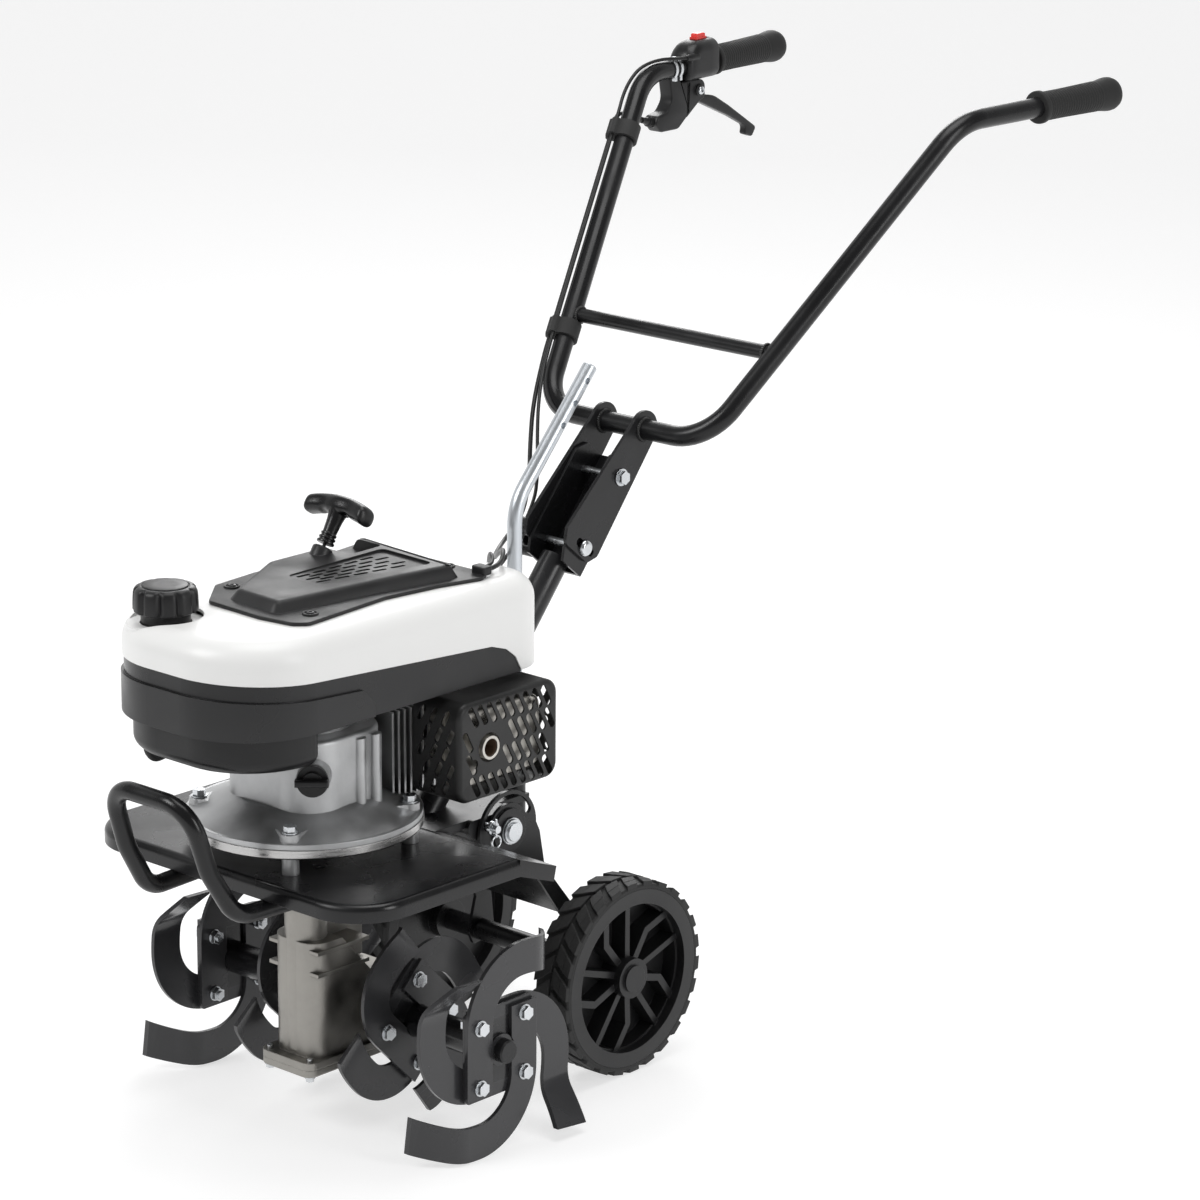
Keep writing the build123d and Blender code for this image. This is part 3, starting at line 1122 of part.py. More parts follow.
with BuildPart() as left_tyre:
    tyre_body(1)
left_tyre.part.label = "left_tyre"
export_step(left_tyre.part, "parts/left_tyre.step")
with BuildPart() as right_tyre:
    tyre_body(-1)
right_tyre.part.label = "right_tyre"
export_step(right_tyre.part, "parts/right_tyre.step")
with BuildPart() as left_rim:
    rim_body(1)
left_rim.part.label = "left_rim"
export_step(left_rim.part, "parts/left_rim.step")
with BuildPart() as right_rim:
    rim_body(-1)
right_rim.part.label = "right_rim"
export_step(right_rim.part, "parts/right_rim.step")
print("wheel", len(left_tyre.part.solids()), len(left_rim.part.solids()), left_rim.part.is_valid)

# ---------------------------------------------------------------- handlebar
half_bar = [Vector(243, 931, 985), Vector(227, 687, 981), Vector(117, 404, 660)]
bar_pts = half_bar + [Vector(-p.X, p.Y, p.Z) for p in reversed(half_bar)]
cross_at = (147.0, 482.0, 748.0)
with BuildPart() as handlebar:
    with BuildLine() as tube_line:
        FilletPolyline(*bar_pts, radius=[70, 60, 60, 70])
    with BuildSketch(Plane(origin=tube_line.line @ 0, z_dir=tube_line.line % 0)) as s:
        Circle(tube_r)
        Circle(tube_r - 1.8, mode=Mode.SUBTRACT)
    sweep(path=tube_line.line)
    rod((-cross_at[0] + 7, cross_at[1], cross_at[2]), (1, 0, 0), 8, 2 * cross_at[0] - 14)
    rod((-cross_at[0] + 8, cross_at[1], cross_at[2]), (1, 0, 0), 6.6, 2 * cross_at[0] - 16, mode=Mode.SUBTRACT)
handlebar.part.label = "handlebar"
export_step(handlebar.part, "parts/handlebar.step")
print("handlebar", len(handlebar.part.solids()), handlebar.part.is_valid, handlebar.part.volume)

tube_rel = half_bar[2] - pivot
tube_n, tube_d = tube_rel.dot(post_n), tube_rel.dot(post_d)      # tube's axis from the pivot, square to the post and along it
with BuildPart() as cheek_plates:
    for x in (-31.0, 27.0):
        with BuildSketch(head_plane(x)) as s:
            with BuildLine():
                Polyline((-38, -84), (-30, -99), (14, -99), (24, -86), (20, 58), (-20, 62), close=True)
            make_face()
            fillet(s.vertices().sort_by(Axis.Y)[:4], 7)
            with Locations((tube_n, tube_d)):
                Circle(20.5)
            Circle(4.05, mode=Mode.SUBTRACT)
            SlotArc(arc=Edge.make_circle(clamp_d, start_angle=270 - 7.6, end_angle=270 + 7.6), height=9, mode=Mode.SUBTRACT)
        extrude(amount=4)
    rod((-40, half_bar[2].Y, half_bar[2].Z), (1, 0, 0), tube_r + 0.03, 80, mode=Mode.SUBTRACT)
cheek_plates.part.label = "cheek_plates"
export_step(cheek_plates.part, "parts/cheek_plates.step")
print("cheeks", len(cheek_plates.part.solids()), cheek_plates.part.is_valid)

grip_len = 130.0


def tube_frame(sx, s0):
    """plane square to the hand end of the tube, s0 behind its bend: its y points up"""
    a, b = Vector(sx * half_bar[1].X, half_bar[1].Y, half_bar[1].Z), Vector(sx * half_bar[0].X, half_bar[0].Y, half_bar[0].Z)
    t = (b - a).normalized()
    return Plane(origin=a + t * s0, x_dir=(-t.Y, t.X, 0), z_dir=t)


hand_len = (half_bar[0] - half_bar[1]).length
with BuildPart() as grips:
    for sx in (1, -1):
        pl = tube_frame(sx, hand_len + 11 - grip_len)
        with BuildSketch(Plane(origin=pl.origin, x_dir=pl.x_dir, z_dir=-pl.y_dir)) as s:
            with BuildLine():
                Polyline((tube_r + 0.03, 0), (17.2, 0), (18.2, 2), (18.2, 5), (15.6, 9), (15.8, 60), (16.4, 95), (18.6, 112), (18.8, 119),
                         (16.5, 126), (11, 130), (0, 130), (0, grip_len - 10.8), (tube_r + 0.03, grip_len - 10.8), close=True)
            make_face()
        revolve(s.sketch, axis=Axis(pl.origin, pl.z_dir))
grips.part.label = "grips"
export_step(grips.part, "parts/grips.step")
print("grips", len(grips.part.solids()), grips.part.is_valid, [round(v, 1) for v in grips.part.bounding_box().max])

box_at = 63.0
with BuildPart() as switch_housing:
    with BuildSketch(tube_frame(-1, box_at)) as s:
        with Locations((0, 5.5)):
            RectangleRounded(35, 45, 13)
        Circle(tube_r + 0.03, mode=Mode.SUBTRACT)
    extrude(amount=58)
    for face in (switch_housing.faces().sort_by(Axis.Y)[0], switch_housing.faces().sort_by(Axis.Y)[-1]):
        fillet(face.outer_wire().edges(), 2.5)
    pl = tube_frame(-1, box_at + 41)
    with Locations(Plane(origin=pl.origin + pl.y_dir * 24, x_dir=pl.x_dir, z_dir=pl.y_dir).location):
        Box(10.6, 26, 10, align=MIN3, mode=Mode.SUBTRACT)
switch_housing.part.label = "switch_housing"
export_step(switch_housing.part, "parts/switch_housing.step")
print("housing", len(switch_housing.part.solids()), switch_housing.part.is_valid)

with BuildPart() as stop_switch:
    pl = tube_frame(-1, box_at + 38)
    with Locations(Plane(origin=pl.origin + pl.y_dir * 24.4, x_dir=pl.x_dir, z_dir=pl.y_dir).location):
        Box(10, 19, 6, align=MIN3)
        with Locations((0, 0, 5)):
            Box(9, 15, 5, align=MIN3)
    chamfer(stop_switch.faces().sort_by(Axis.Z)[-1].edges(), 1)
stop_switch.part.label = "stop_switch"
export_step(stop_switch.part, "parts/stop_switch.step")

lever_x, lever_y, lever_z = -234.0, 779.0, 953.0
ring_pl = tube_frame(-1, 43.5)
with BuildPart() as lever_bracket:
    with BuildSketch(xplane(lever_x - 10)) as s:
        with BuildLine():
            Polyline((729, 973), (748, 972), (748.5, 964), (772, 964), (788, 960), (786, 944), (744, 911), (715, 911), (706, 921), (709, 929),
                     (724, 932), (735, 946), close=True)
        make_face()
    extrude(amount=20)
    with BuildSketch(ring_pl) as s:
        Circle(14.6)
    extrude(amount=18)
    with BuildSketch(ring_pl.offset(-12)) as s:
        Circle(tube_r + 0.03)
    extrude(s.sketch, amount=60, mode=Mode.SUBTRACT)
    # fork for the lever
    with Locations((lever_x, 785, 950)):
        Box(13, 40, 40, mode=Mode.SUBTRACT)
    rod((lever_x - 13, lever_y, lever_z), (1, 0, 0), 3.0, 26)
    for sx in (1, -1):
        rod((lever_x + sx * 10, lever_y, lever_z), (sx, 0, 0), 6, 4)
    # cable adjuster
    rod((lever_x, 712, 922), (0, -0.966, 0.259), 6, 10)
    rod((lever_x, 712, 922), (0, -0.966, 0.259), 4, 20)
lever_bracket.part.label = "lever_bracket"
export_step(lever_bracket.part, "parts/lever_bracket.step")
print("lever bracket", len(lever_bracket.part.solids()), lever_bracket.part.is_valid)

with BuildPart() as throttle_lever:
    with BuildSketch(xplane(lever_x - 6)) as s:
        with BuildLine():
            Polyline((777, 945.5), (785, 946), (811, 942), (838, 927), (889, 895.6), (879, 885), (867, 890.5), (869.6, 898), (841, 911.3),
                     (802.5, 929.7), (784.8, 939.5), close=True)
        make_face()
        with Locations((lever_y, lever_z)):
            Circle(8)
            Circle(3.05, mode=Mode.SUBTRACT)
    extrude(amount=12)
throttle_lever.part.label = "throttle_lever"
export_step(throttle_lever.part, "parts/throttle_lever.step")
print("lever", len(throttle_lever.part.solids()), throttle_lever.part.is_valid)

# ---------------------------------------------------------------- cables and their clips
low_r = Vector(-half_bar[2].X, half_bar[2].Y, half_bar[2].Z)
high_r = Vector(-half_bar[1].X, half_bar[1].Y, half_bar[1].Z)
side_d = (high_r - low_r).normalized()               # up along the right side tube
out = Vector(-0.828, -0.529, 0.182)
out = (out - side_d * out.dot(side_d)).normalized()   # to the front and outside of the tube
across = side_d.cross(out)
lead_out = out * cos(radians(30)) + across * sin(radians(30))
if lead_out.Y > out.Y:
    lead_out = out * cos(radians(30)) - across * sin(radians(30))
cable_off, lead_off = 16.6, 16.2


def beside(s0, d, off):
    return low_r + side_d * s0 + d * off


clip_at = (352.0, 88.0)
with BuildPart() as cable_clips:
    for s0 in clip_at:
        c = low_r + side_d * s0
        pl = Plane(origin=c, x_dir=out, z_dir=side_d)
        with BuildSketch(pl) as s:
            Circle(14.4)
            with Locations((13, 0)):
                RectangleRounded(18, 15, 4)
        extrude(s.sketch, amount=20)
        # lug for the second lead
        with BuildSketch(Plane(origin=c, x_dir=lead_out, z_dir=side_d)) as s:
            with Locations((13, 0)):
                RectangleRounded(16, 11, 4)
        extrude(s.sketch, amount=20)
        rod(c - side_d * 5, side_d, tube_r + 0.03, 40, mode=Mode.SUBTRACT)
        rod(beside(s0 - 5, out, cable_off), side_d, 2.6, 40, mode=Mode.SUBTRACT)
        rod(beside(s0 - 5, lead_out, lead_off), side_d, 2.1, 40, mode=Mode.SUBTRACT)
cable_clips.part.label = "cable_clips"
export_step(cable_clips.part, "parts/cable_clips.step")
print("clips", len(cable_clips.part.solids()), cable_clips.part.is_valid)

adjuster = Vector(lever_x, 712, 922) + Vector(0, -0.966, 0.259) * 20
cable_pts = [adjuster, adjuster + Vector(0, -0.966, 0.259) * 16, Vector(-232.5, 662, 939), beside(384, out, cable_off),
             beside(62, out, cable_off), Vector(-126, 396, 664), Vector(-104, 368, 628), Vector(-90, 352, 594), Vector(-83, 334, 556),
             Vector(-72, 286, 534), Vector(-26, 228, 540), Vector(20, 186, 562), Vector(62, 152, 584), Vector(84, 124, 574.5),
             Vector(84, 106.1, 574.5)]
lead_pts = [Vector(-216.5, 749.7, 993), Vector(-218, 725, 997), Vector(-226, 694, 998), Vector(-233, 664, 982), beside(380, lead_out, lead_off),
            beside(66, lead_out, lead_off), Vector(-112, 390, 676), Vector(-88, 362, 640), Vector(-70, 344, 604), Vector(-64, 332, 574),
            Vector(-61, 284, 520), Vector(-24, 220, 524), Vector(16, 176, 556), Vector(50, 144, 580), Vector(76, 122, 574.5),
            Vector(76, 106.1, 574.5)]


def cable_radii(pts):
    out_r = []
    for a, b, c in zip(pts, pts[1:], pts[2:]):
        turn = radians((b - a).get_angle(c - b))
        out_r.append(min(0.45 * min((b - a).length, (c - b).length) / tan(turn / 2), 160.0))
    return out_r


with BuildPart() as control_cables:
    for pts, r in ((cable_pts, 2.5), (lead_pts, 2.0)):
        radii = cable_radii(pts)
        print("cable radii", [round(v) for v in radii])
        with BuildLine() as cable_line:
            FilletPolyline(*pts, radius=radii)
        with BuildSketch(Plane(origin=cable_line.line @ 0, z_dir=cable_line.line % 0)) as s:
            Circle(r)
        sweep(s.sketch, path=cable_line.line)
        print("cable length", cable_line.wires()[0].length)
control_cables.part.label = "control_cables"
export_step(control_cables.part, "parts/control_cables.step")
print("cables", len(control_cables.part.solids()), control_cables.part.is_valid)
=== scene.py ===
import math
import bpy
import bmesh
from mathutils import Matrix, Vector


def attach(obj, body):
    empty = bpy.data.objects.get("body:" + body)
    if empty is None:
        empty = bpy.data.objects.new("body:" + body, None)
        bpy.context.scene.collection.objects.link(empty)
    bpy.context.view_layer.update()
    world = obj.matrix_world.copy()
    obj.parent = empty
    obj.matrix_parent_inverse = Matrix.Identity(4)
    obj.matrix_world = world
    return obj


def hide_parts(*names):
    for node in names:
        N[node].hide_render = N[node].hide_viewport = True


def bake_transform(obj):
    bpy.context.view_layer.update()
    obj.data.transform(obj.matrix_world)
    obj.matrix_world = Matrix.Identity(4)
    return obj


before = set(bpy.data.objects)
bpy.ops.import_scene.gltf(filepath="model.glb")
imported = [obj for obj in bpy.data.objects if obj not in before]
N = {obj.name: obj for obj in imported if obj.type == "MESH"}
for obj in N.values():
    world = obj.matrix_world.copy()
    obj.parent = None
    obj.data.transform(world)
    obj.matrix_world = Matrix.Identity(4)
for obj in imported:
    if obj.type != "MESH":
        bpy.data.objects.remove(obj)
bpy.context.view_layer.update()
scene = bpy.context.scene


# ------------------------------------------------------------------ camera
az, el, roll = math.radians(42.23), math.radians(15.91), math.radians(0.37)
back = Vector((math.sin(az) * math.cos(el), -math.cos(az) * math.cos(el), math.sin(el)))
right = Vector((math.cos(az), math.sin(az), 0.0))
up = back.cross(right)
cam_x = right * math.cos(roll) + up * math.sin(roll)
cam_y = up * math.cos(roll) - right * math.sin(roll)
cam_data = bpy.data.cameras.new("camera")
cam_data.sensor_width = 36.0
cam_data.lens = 135.0
cam_data.clip_end = 200.0
cam = bpy.data.objects.new("camera", cam_data)
scene.collection.objects.link(cam)
cam.matrix_world = Matrix(((cam_x.x, cam_y.x, back.x, 3.15448), (cam_x.y, cam_y.y, back.y, -3.10694),
                           (cam_x.z, cam_y.z, back.z, 1.80841), (0, 0, 0, 1)))
scene.camera = cam


# ------------------------------------------------------------------ materials
def new_mat(name):
    m = bpy.data.materials.new(name)
    m.use_nodes = True
    nt = m.node_tree
    return m, nt, nt.nodes["Principled BSDF"]


def surface(name, color, rough, metal=0.0, vary=0.25, grain=600.0, bump=0.05, blotch=14.0, rough_vary=0.12, edge=0.0006, edge_wear=0.0,
            wear_color=None, coat=0.0, coat_rough=0.1, spec=0.5, stretch=(1, 1, 1), depth=0.0004, painted_hollow_shade=0.0, reach=0.03):
    """solid coloured material: slow colour drift, fine grain in the bump, drift in roughness, softened and worn edges,
    painted shade darkening the hollows
    """
    m, nt, b = new_mat(name)
    L, Q = nt.links, nt.nodes
    tc = Q.new("ShaderNodeTexCoord")
    mp = Q.new("ShaderNodeMapping")
    mp.inputs["Scale"].default_value = stretch
    L.new(tc.outputs["Object"], mp.inputs["Vector"])
    big = Q.new("ShaderNodeTexNoise")
    big.inputs["Scale"].default_value = blotch
    big.inputs["Detail"].default_value = 4
    L.new(mp.outputs["Vector"], big.inputs["Vector"])
    ramp = Q.new("ShaderNodeValToRGB")
    lo = [max(0.0, c * (1 - vary)) for c in color]
    hi = [min(1.0, c * (1 + vary)) for c in color]
    ramp.color_ramp.elements[0].position, ramp.color_ramp.elements[1].position = 0.3, 0.7
    ramp.color_ramp.elements[0].color = (*lo, 1)
    ramp.color_ramp.elements[1].color = (*hi, 1)
    L.new(big.outputs["Fac"], ramp.inputs["Fac"])
    color_out = ramp.outputs["Color"]
    bev = Q.new("ShaderNodeBevel")
    bev.samples = 4
    bev.inputs["Radius"].default_value = edge
    if edge_wear > 0:
        geo = Q.new("ShaderNodeNewGeometry")
        pt = Q.new("ShaderNodeMapRange")
        pt.inputs["From Min"].default_value, pt.inputs["From Max"].default_value = 0.52, 0.62
        L.new(geo.outputs["Pointiness"], pt.inputs["Value"])
        mul = Q.new("ShaderNodeMath")
        mul.operation = "MULTIPLY"
        mul.inputs[1].default_value = edge_wear
        L.new(pt.outputs["Result"], mul.inputs[0])
        mix = Q.new("ShaderNodeMix")
        mix.data_type = "RGBA"
        L.new(mul.outputs[0], mix.inputs["Factor"])
        L.new(color_out, mix.inputs[6])
        mix.inputs[7].default_value = (*(wear_color or [min(1, c * 2 + 0.05) for c in color]), 1)
        color_out = mix.outputs[2]
    # painted shade: ambient occlusion darkens the colour in hollows and crevices
    if painted_hollow_shade > 0:
        ao = Q.new("ShaderNodeAmbientOcclusion")
        ao.samples = 6
        ao.inputs["Distance"].default_value = reach
        shade = Q.new("ShaderNodeMapRange")
        shade.inputs["From Min"].default_value, shade.inputs["From Max"].default_value = 0.15, 0.85
        shade.inputs["To Min"].default_value, shade.inputs["To Max"].default_value = 1.0 - painted_hollow_shade, 1.0
        L.new(ao.outputs["AO"], shade.inputs["Value"])
        dark = Q.new("ShaderNodeVectorMath")
        dark.operation = "SCALE"
        L.new(color_out, dark.inputs[0])
        L.new(shade.outputs["Result"], dark.inputs["Scale"])
        color_out = dark.outputs["Vector"]
    L.new(color_out, b.inputs["Base Color"])
    rr = Q.new("ShaderNodeMapRange")
    rr.inputs["To Min"].default_value, rr.inputs["To Max"].default_value = max(0.02, rough - rough_vary), min(1.0, rough + rough_vary)
    rr.inputs["From Min"].default_value, rr.inputs["From Max"].default_value = 0.3, 0.7
    L.new(big.outputs["Fac"], rr.inputs["Value"])
    L.new(rr.outputs["Result"], b.inputs["Roughness"])
    fine = Q.new("ShaderNodeTexNoise")
    fine.inputs["Scale"].default_value = grain
    fine.inputs["Detail"].default_value = 3
    L.new(mp.outputs["Vector"], fine.inputs["Vector"])
    bp = Q.new("ShaderNodeBump")
    bp.inputs["Strength"].default_value = bump
    bp.inputs["Distance"].default_value = depth
    L.new(fine.outputs["Fac"], bp.inputs["Height"])
    L.new(bev.outputs["Normal"], bp.inputs["Normal"])
    L.new(bp.outputs["Normal"], b.inputs["Normal"])
    b.inputs["Metallic"].default_value = metal
    b.inputs["Specular IOR Level"].default_value = spec
    b.inputs["Coat Weight"].default_value = coat
    b.inputs["Coat Roughness"].default_value = coat_rough
    return m


black_paint = surface("black_paint", (0.006, 0.006, 0.0066), 0.28, vary=0.2, grain=900, bump=0.10, edge=0.0009, edge_wear=0.25, wear_color=(0.04, 0.04, 0.042),
                      spec=0.38)
tine_paint = surface("tine_paint", (0.008, 0.008, 0.009), 0.24, vary=0.25, grain=700, bump=0.14, edge=0.0007, edge_wear=0.40, wear_color=(0.07, 0.07, 0.074),
                     spec=0.50)
guard_paint = surface("guard_paint", (0.011, 0.011, 0.011), 0.44, vary=0.2, grain=1100, bump=0.12, edge=0.0007, edge_wear=0.3, wear_color=(0.045, 0.045, 0.045),
                      spec=0.35)
# cast_bright, cast_warm, machined and zinc carry painted shade in their hollows
cast_bright = surface("cast_bright", (0.50, 0.505, 0.51), 0.44, metal=0.85, vary=0.18, grain=420, bump=0.32, blotch=26, edge=0.0016, rough_vary=0.10, painted_hollow_shade=0.50,
                      reach=0.03)
cast_warm = surface("cast_warm", (0.33, 0.318, 0.295), 0.45, metal=1.0, vary=0.16, grain=480, bump=0.5, blotch=26, edge=0.0016, rough_vary=0.10, painted_hollow_shade=0.70)
machined = surface("machined", (0.50, 0.495, 0.49), 0.28, metal=1.0, vary=0.07, grain=300, bump=0.08, blotch=30, edge=0.0006, stretch=(1, 1, 12), painted_hollow_shade=0.6)
zinc = surface("zinc", (0.66, 0.68, 0.70), 0.26, metal=1.0, vary=0.08, grain=500, bump=0.08, blotch=40, edge=0.0007, rough_vary=0.10, painted_hollow_shade=0.45, reach=0.015)
bar_zinc = surface("bar_zinc", (0.60, 0.63, 0.66), 0.34, metal=1.0, vary=0.04, grain=300, bump=0.015, blotch=18, edge=0.0007, rough_vary=0.04)
steel = surface("steel", (0.55, 0.55, 0.55), 0.33, metal=1.0, vary=0.10, grain=380, bump=0.10, blotch=30, edge=0.0005)
bronze = surface("bronze", (0.62, 0.42, 0.17), 0.34, metal=1.0, vary=0.12, grain=380, bump=0.08, edge=0.0004)
iron = surface("iron", (0.16, 0.16, 0.16), 0.58, metal=0.8, vary=0.2, grain=420, bump=0.4, edge=0.001)
white = surface("white", (0.83, 0.83, 0.82), 0.40, vary=0.006, grain=260, bump=0.012, blotch=5, edge=0.001, rough_vary=0.015, coat=0.12, coat_rough=0.22)
dark_band = surface("dark_band", (0.009, 0.009, 0.0098), 0.33, vary=0.12, grain=1500, bump=0.16, edge=0.0010, edge_wear=0.15, wear_color=(0.05, 0.05, 0.05),
                    depth=0.0002, spec=0.40)
tank_black = surface("tank_black", (0.007, 0.007, 0.0075), 0.32, vary=0.15, grain=1400, bump=0.14, edge=0.0012, depth=0.0002, spec=0.35)
panel_black = surface("panel_black", (0.011, 0.011, 0.0116), 0.44, vary=0.15, grain=1700, bump=0.30, edge=0.0008, edge_wear=0.2, wear_color=(0.045, 0.045, 0.045),
                      depth=0.0002, spec=0.40)
knob_black = surface("knob_black", (0.008, 0.008, 0.0086), 0.36, vary=0.15, grain=1400, bump=0.2, edge=0.0009, edge_wear=0.2, wear_color=(0.035, 0.035, 0.035),
                     depth=0.0002, spec=0.40)
rim_black = surface("rim_black", (0.010, 0.010, 0.0106), 0.38, vary=0.15, grain=1300, bump=0.2, edge=0.0009, edge_wear=0.2, wear_color=(0.045, 0.045, 0.045),
                    depth=0.0002, spec=0.40)
rubber = surface("rubber", (0.015, 0.015, 0.015), 0.62, vary=0.25, grain=900, bump=0.35, edge=0.0007, edge_wear=0.35, wear_color=(0.04, 0.04, 0.04), spec=0.35)
tyre_rubber = surface("tyre_rubber", (0.016, 0.016, 0.016), 0.68, vary=0.3, grain=700, bump=0.5, edge=0.0009, edge_wear=0.4, wear_color=(0.045, 0.045, 0.045),
                      spec=0.35)
cable_black = surface("cable_black", (0.010, 0.010, 0.010), 0.38, vary=0.2, grain=1200, bump=0.15, edge=0.0003, spec=0.4)
hose_black = surface("hose_black", (0.012, 0.012, 0.012), 0.50, vary=0.2, grain=900, bump=0.2, edge=0.0003, spec=0.4)
red = surface("red", (0.72, 0.022, 0.014), 0.30, vary=0.06, grain=900, bump=0.05, edge=0.0006, coat=0.3)
silencer = surface("silencer", (0.56, 0.54, 0.50), 0.34, metal=1.0, vary=0.16, grain=300, bump=0.10, blotch=24, edge=0.0010, rough_vary=0.12)
screw_black = surface("screw_black", (0.05, 0.05, 0.052), 0.36, metal=0.7, vary=0.2, grain=500, bump=0.12, edge=0.0005)
soot = surface("soot", (0.10, 0.06, 0.035), 0.75, vary=0.4, grain=600, bump=0.4, edge=0.0003)
weld = surface("weld", (0.014, 0.014, 0.014), 0.34, vary=0.25, grain=900, bump=0.2, edge=0.0004)


def braided(name):
    m, nt, b = new_mat(name)
    Q, L = nt.nodes, nt.links
    tc = Q.new("ShaderNodeTexCoord")
    w1 = Q.new("ShaderNodeTexWave")
    w1.inputs["Scale"].default_value = 420
    w1.inputs["Distortion"].default_value = 1.0
    L.new(tc.outputs["Object"], w1.inputs["Vector"])
    ramp = Q.new("ShaderNodeValToRGB")
    ramp.color_ramp.elements[0].color = (0.012, 0.012, 0.012, 1)
    ramp.color_ramp.elements[1].color = (0.07, 0.07, 0.07, 1)
    L.new(w1.outputs["Fac"], ramp.inputs["Fac"])
    L.new(ramp.outputs["Color"], b.inputs["Base Color"])
    bp = Q.new("ShaderNodeBump")
    bp.inputs["Strength"].default_value = 0.5
    bp.inputs["Distance"].default_value = 0.0004
    L.new(w1.outputs["Fac"], bp.inputs["Height"])
    L.new(bp.outputs["Normal"], b.inputs["Normal"])
    b.inputs["Roughness"].default_value = 0.8
    return m


rope_mat = braided("rope")

node_mats = {
    "gear_case": cast_warm, "gear_case_cover": cast_warm, "gear_case_bolts": zinc, "shaft_bearings": steel, "input_shaft": steel,
    "worm_wheel": bronze, "pinion_shaft": steel, "tine_shaft": black_paint, "tine_gear": steel, "tine_hubs": tine_paint,
    "left_tines": tine_paint, "right_tines": tine_paint, "tine_bolts": zinc, "fender": black_paint, "front_guard": black_paint,
    "engine_spacers": cast_bright, "engine_bolts": zinc, "sump_cover": machined, "crankcase": cast_bright, "cylinder_head": cast_bright,
    "muffler": silencer, "muffler_guard": guard_paint, "carburettor": cast_bright, "shroud_base": dark_band, "fuel_tank": tank_black,
    "top_cover": white, "starter_cover": panel_black, "fuel_cap": knob_black, "fuel_hose": hose_black, "oil_cap": knob_black,
    "throttle_arm": zinc, "starter_handle": knob_black, "starter_rope": rope_mat, "starter_pulley": knob_black, "crankshaft": steel,
    "flywheel": iron, "clutch_shoes": steel, "clutch_drum": steel, "rear_bracket": black_paint, "main_post": black_paint,
    "pivot_bolt": zinc, "clamp_bolt": zinc, "star_knob": knob_black, "depth_bar": bar_zinc, "wheel_arm": black_paint, "pivot_pins": zinc,
    "wheel_axle": black_paint, "left_tyre": tyre_rubber, "right_tyre": tyre_rubber, "left_rim": rim_black, "right_rim": rim_black,
    "handlebar": black_paint, "cheek_plates": black_paint, "grips": rubber, "switch_housing": knob_black, "stop_switch": red,
    "lever_bracket": knob_black, "throttle_lever": knob_black, "cable_clips": rubber, "control_cables": cable_black,
}
for name, o in N.items():
    o.data.materials.clear()
    o.data.materials.append(node_mats[name])


# ------------------------------------------------------------------ mesh helpers
def make(name, verts, faces, mat, smooth=True):
    me = bpy.data.meshes.new(name)
    me.from_pydata([tuple(v) for v in verts], [], faces)
    me.validate()
    bm = bmesh.new()
    bm.from_mesh(me)
    bmesh.ops.recalc_face_normals(bm, faces=bm.faces)
    bm.to_mesh(me)
    bm.free()
    o = bpy.data.objects.new(name, me)
    scene.collection.objects.link(o)
    me.materials.append(mat)
    if smooth:
        me.polygons.foreach_set("use_smooth", [True] * len(me.polygons))
        me.set_sharp_from_angle(angle=math.radians(35))
    return o


def basis(d):
    d = Vector(d).normalized()
    a = Vector((0, 0, 1)) if abs(d.z) < 0.9 else Vector((1, 0, 0))
    x = a.cross(d).normalized()
    return d, x, d.cross(x)


def lathe(origin, d, profile, seg=48):
    """closed body of turned profile points (along, radius) round the line from origin along d"""
    d, x, y = basis(d)
    o = Vector(origin)
    verts, faces = [], []
    n = len(profile)
    for s, r in profile:
        for k in range(seg):
            a = 2 * math.pi * k / seg
            verts.append(o + d * s + (x * math.cos(a) + y * math.sin(a)) * r)
    for i in range(n):
        j = (i + 1) % n
        for k in range(seg):
            q = (k + 1) % seg
            faces.append((i * seg + k, i * seg + q, j * seg + q, j * seg + k))
    return verts, faces


def tube_mesh(name, pts, r, mat, seg=14):
    """round tube along a line of points"""
    verts, faces = [], []
    pts = [Vector(p) for p in pts]
    t0 = (pts[1] - pts[0]).normalized()
    _, x, y = basis(t0)
    for i, p in enumerate(pts):
        t = (pts[min(i + 1, len(pts) - 1)] - pts[max(i - 1, 0)]).normalized()
        x = (x - t * x.dot(t)).normalized()
        y = t.cross(x)
        for k in range(seg):
            a = 2 * math.pi * k / seg
            verts.append(p + (x * math.cos(a) + y * math.sin(a)) * r)
    for i in range(len(pts) - 1):
        for k in range(seg):
            q = (k + 1) % seg
            faces.append((i * seg + k, i * seg + q, (i + 1) * seg + q, (i + 1) * seg + k))
    faces.append(tuple(range(seg))[::-1])
    faces.append(tuple(range((len(pts) - 1) * seg, len(pts) * seg)))
    return make(name, verts, faces, mat)


def spline_points(name, pts):
    """points along a smooth line with these control points"""
    cu = bpy.data.curves.new(name, "CURVE")
    cu.dimensions = "3D"
    sp = cu.splines.new("NURBS")
    sp.points.add(len(pts) - 1)
    for q, p in zip(sp.points, pts):
        q.co = (p[0], p[1], p[2], 1)
    sp.order_u = 3
    sp.use_endpoint_u = True
    sp.resolution_u = 16
    tmp = bpy.data.objects.new(name, cu)
    scene.collection.objects.link(tmp)
    bpy.context.view_layer.update()
    me = bpy.data.meshes.new_from_object(tmp.evaluated_get(bpy.context.evaluated_depsgraph_get()))
    line = [v.co.copy() for v in me.vertices]
    bpy.data.objects.remove(tmp)
    bpy.data.curves.remove(cu)
    bpy.data.meshes.remove(me)
    return line


def mm(*p):
    return Vector(p) * 0.001


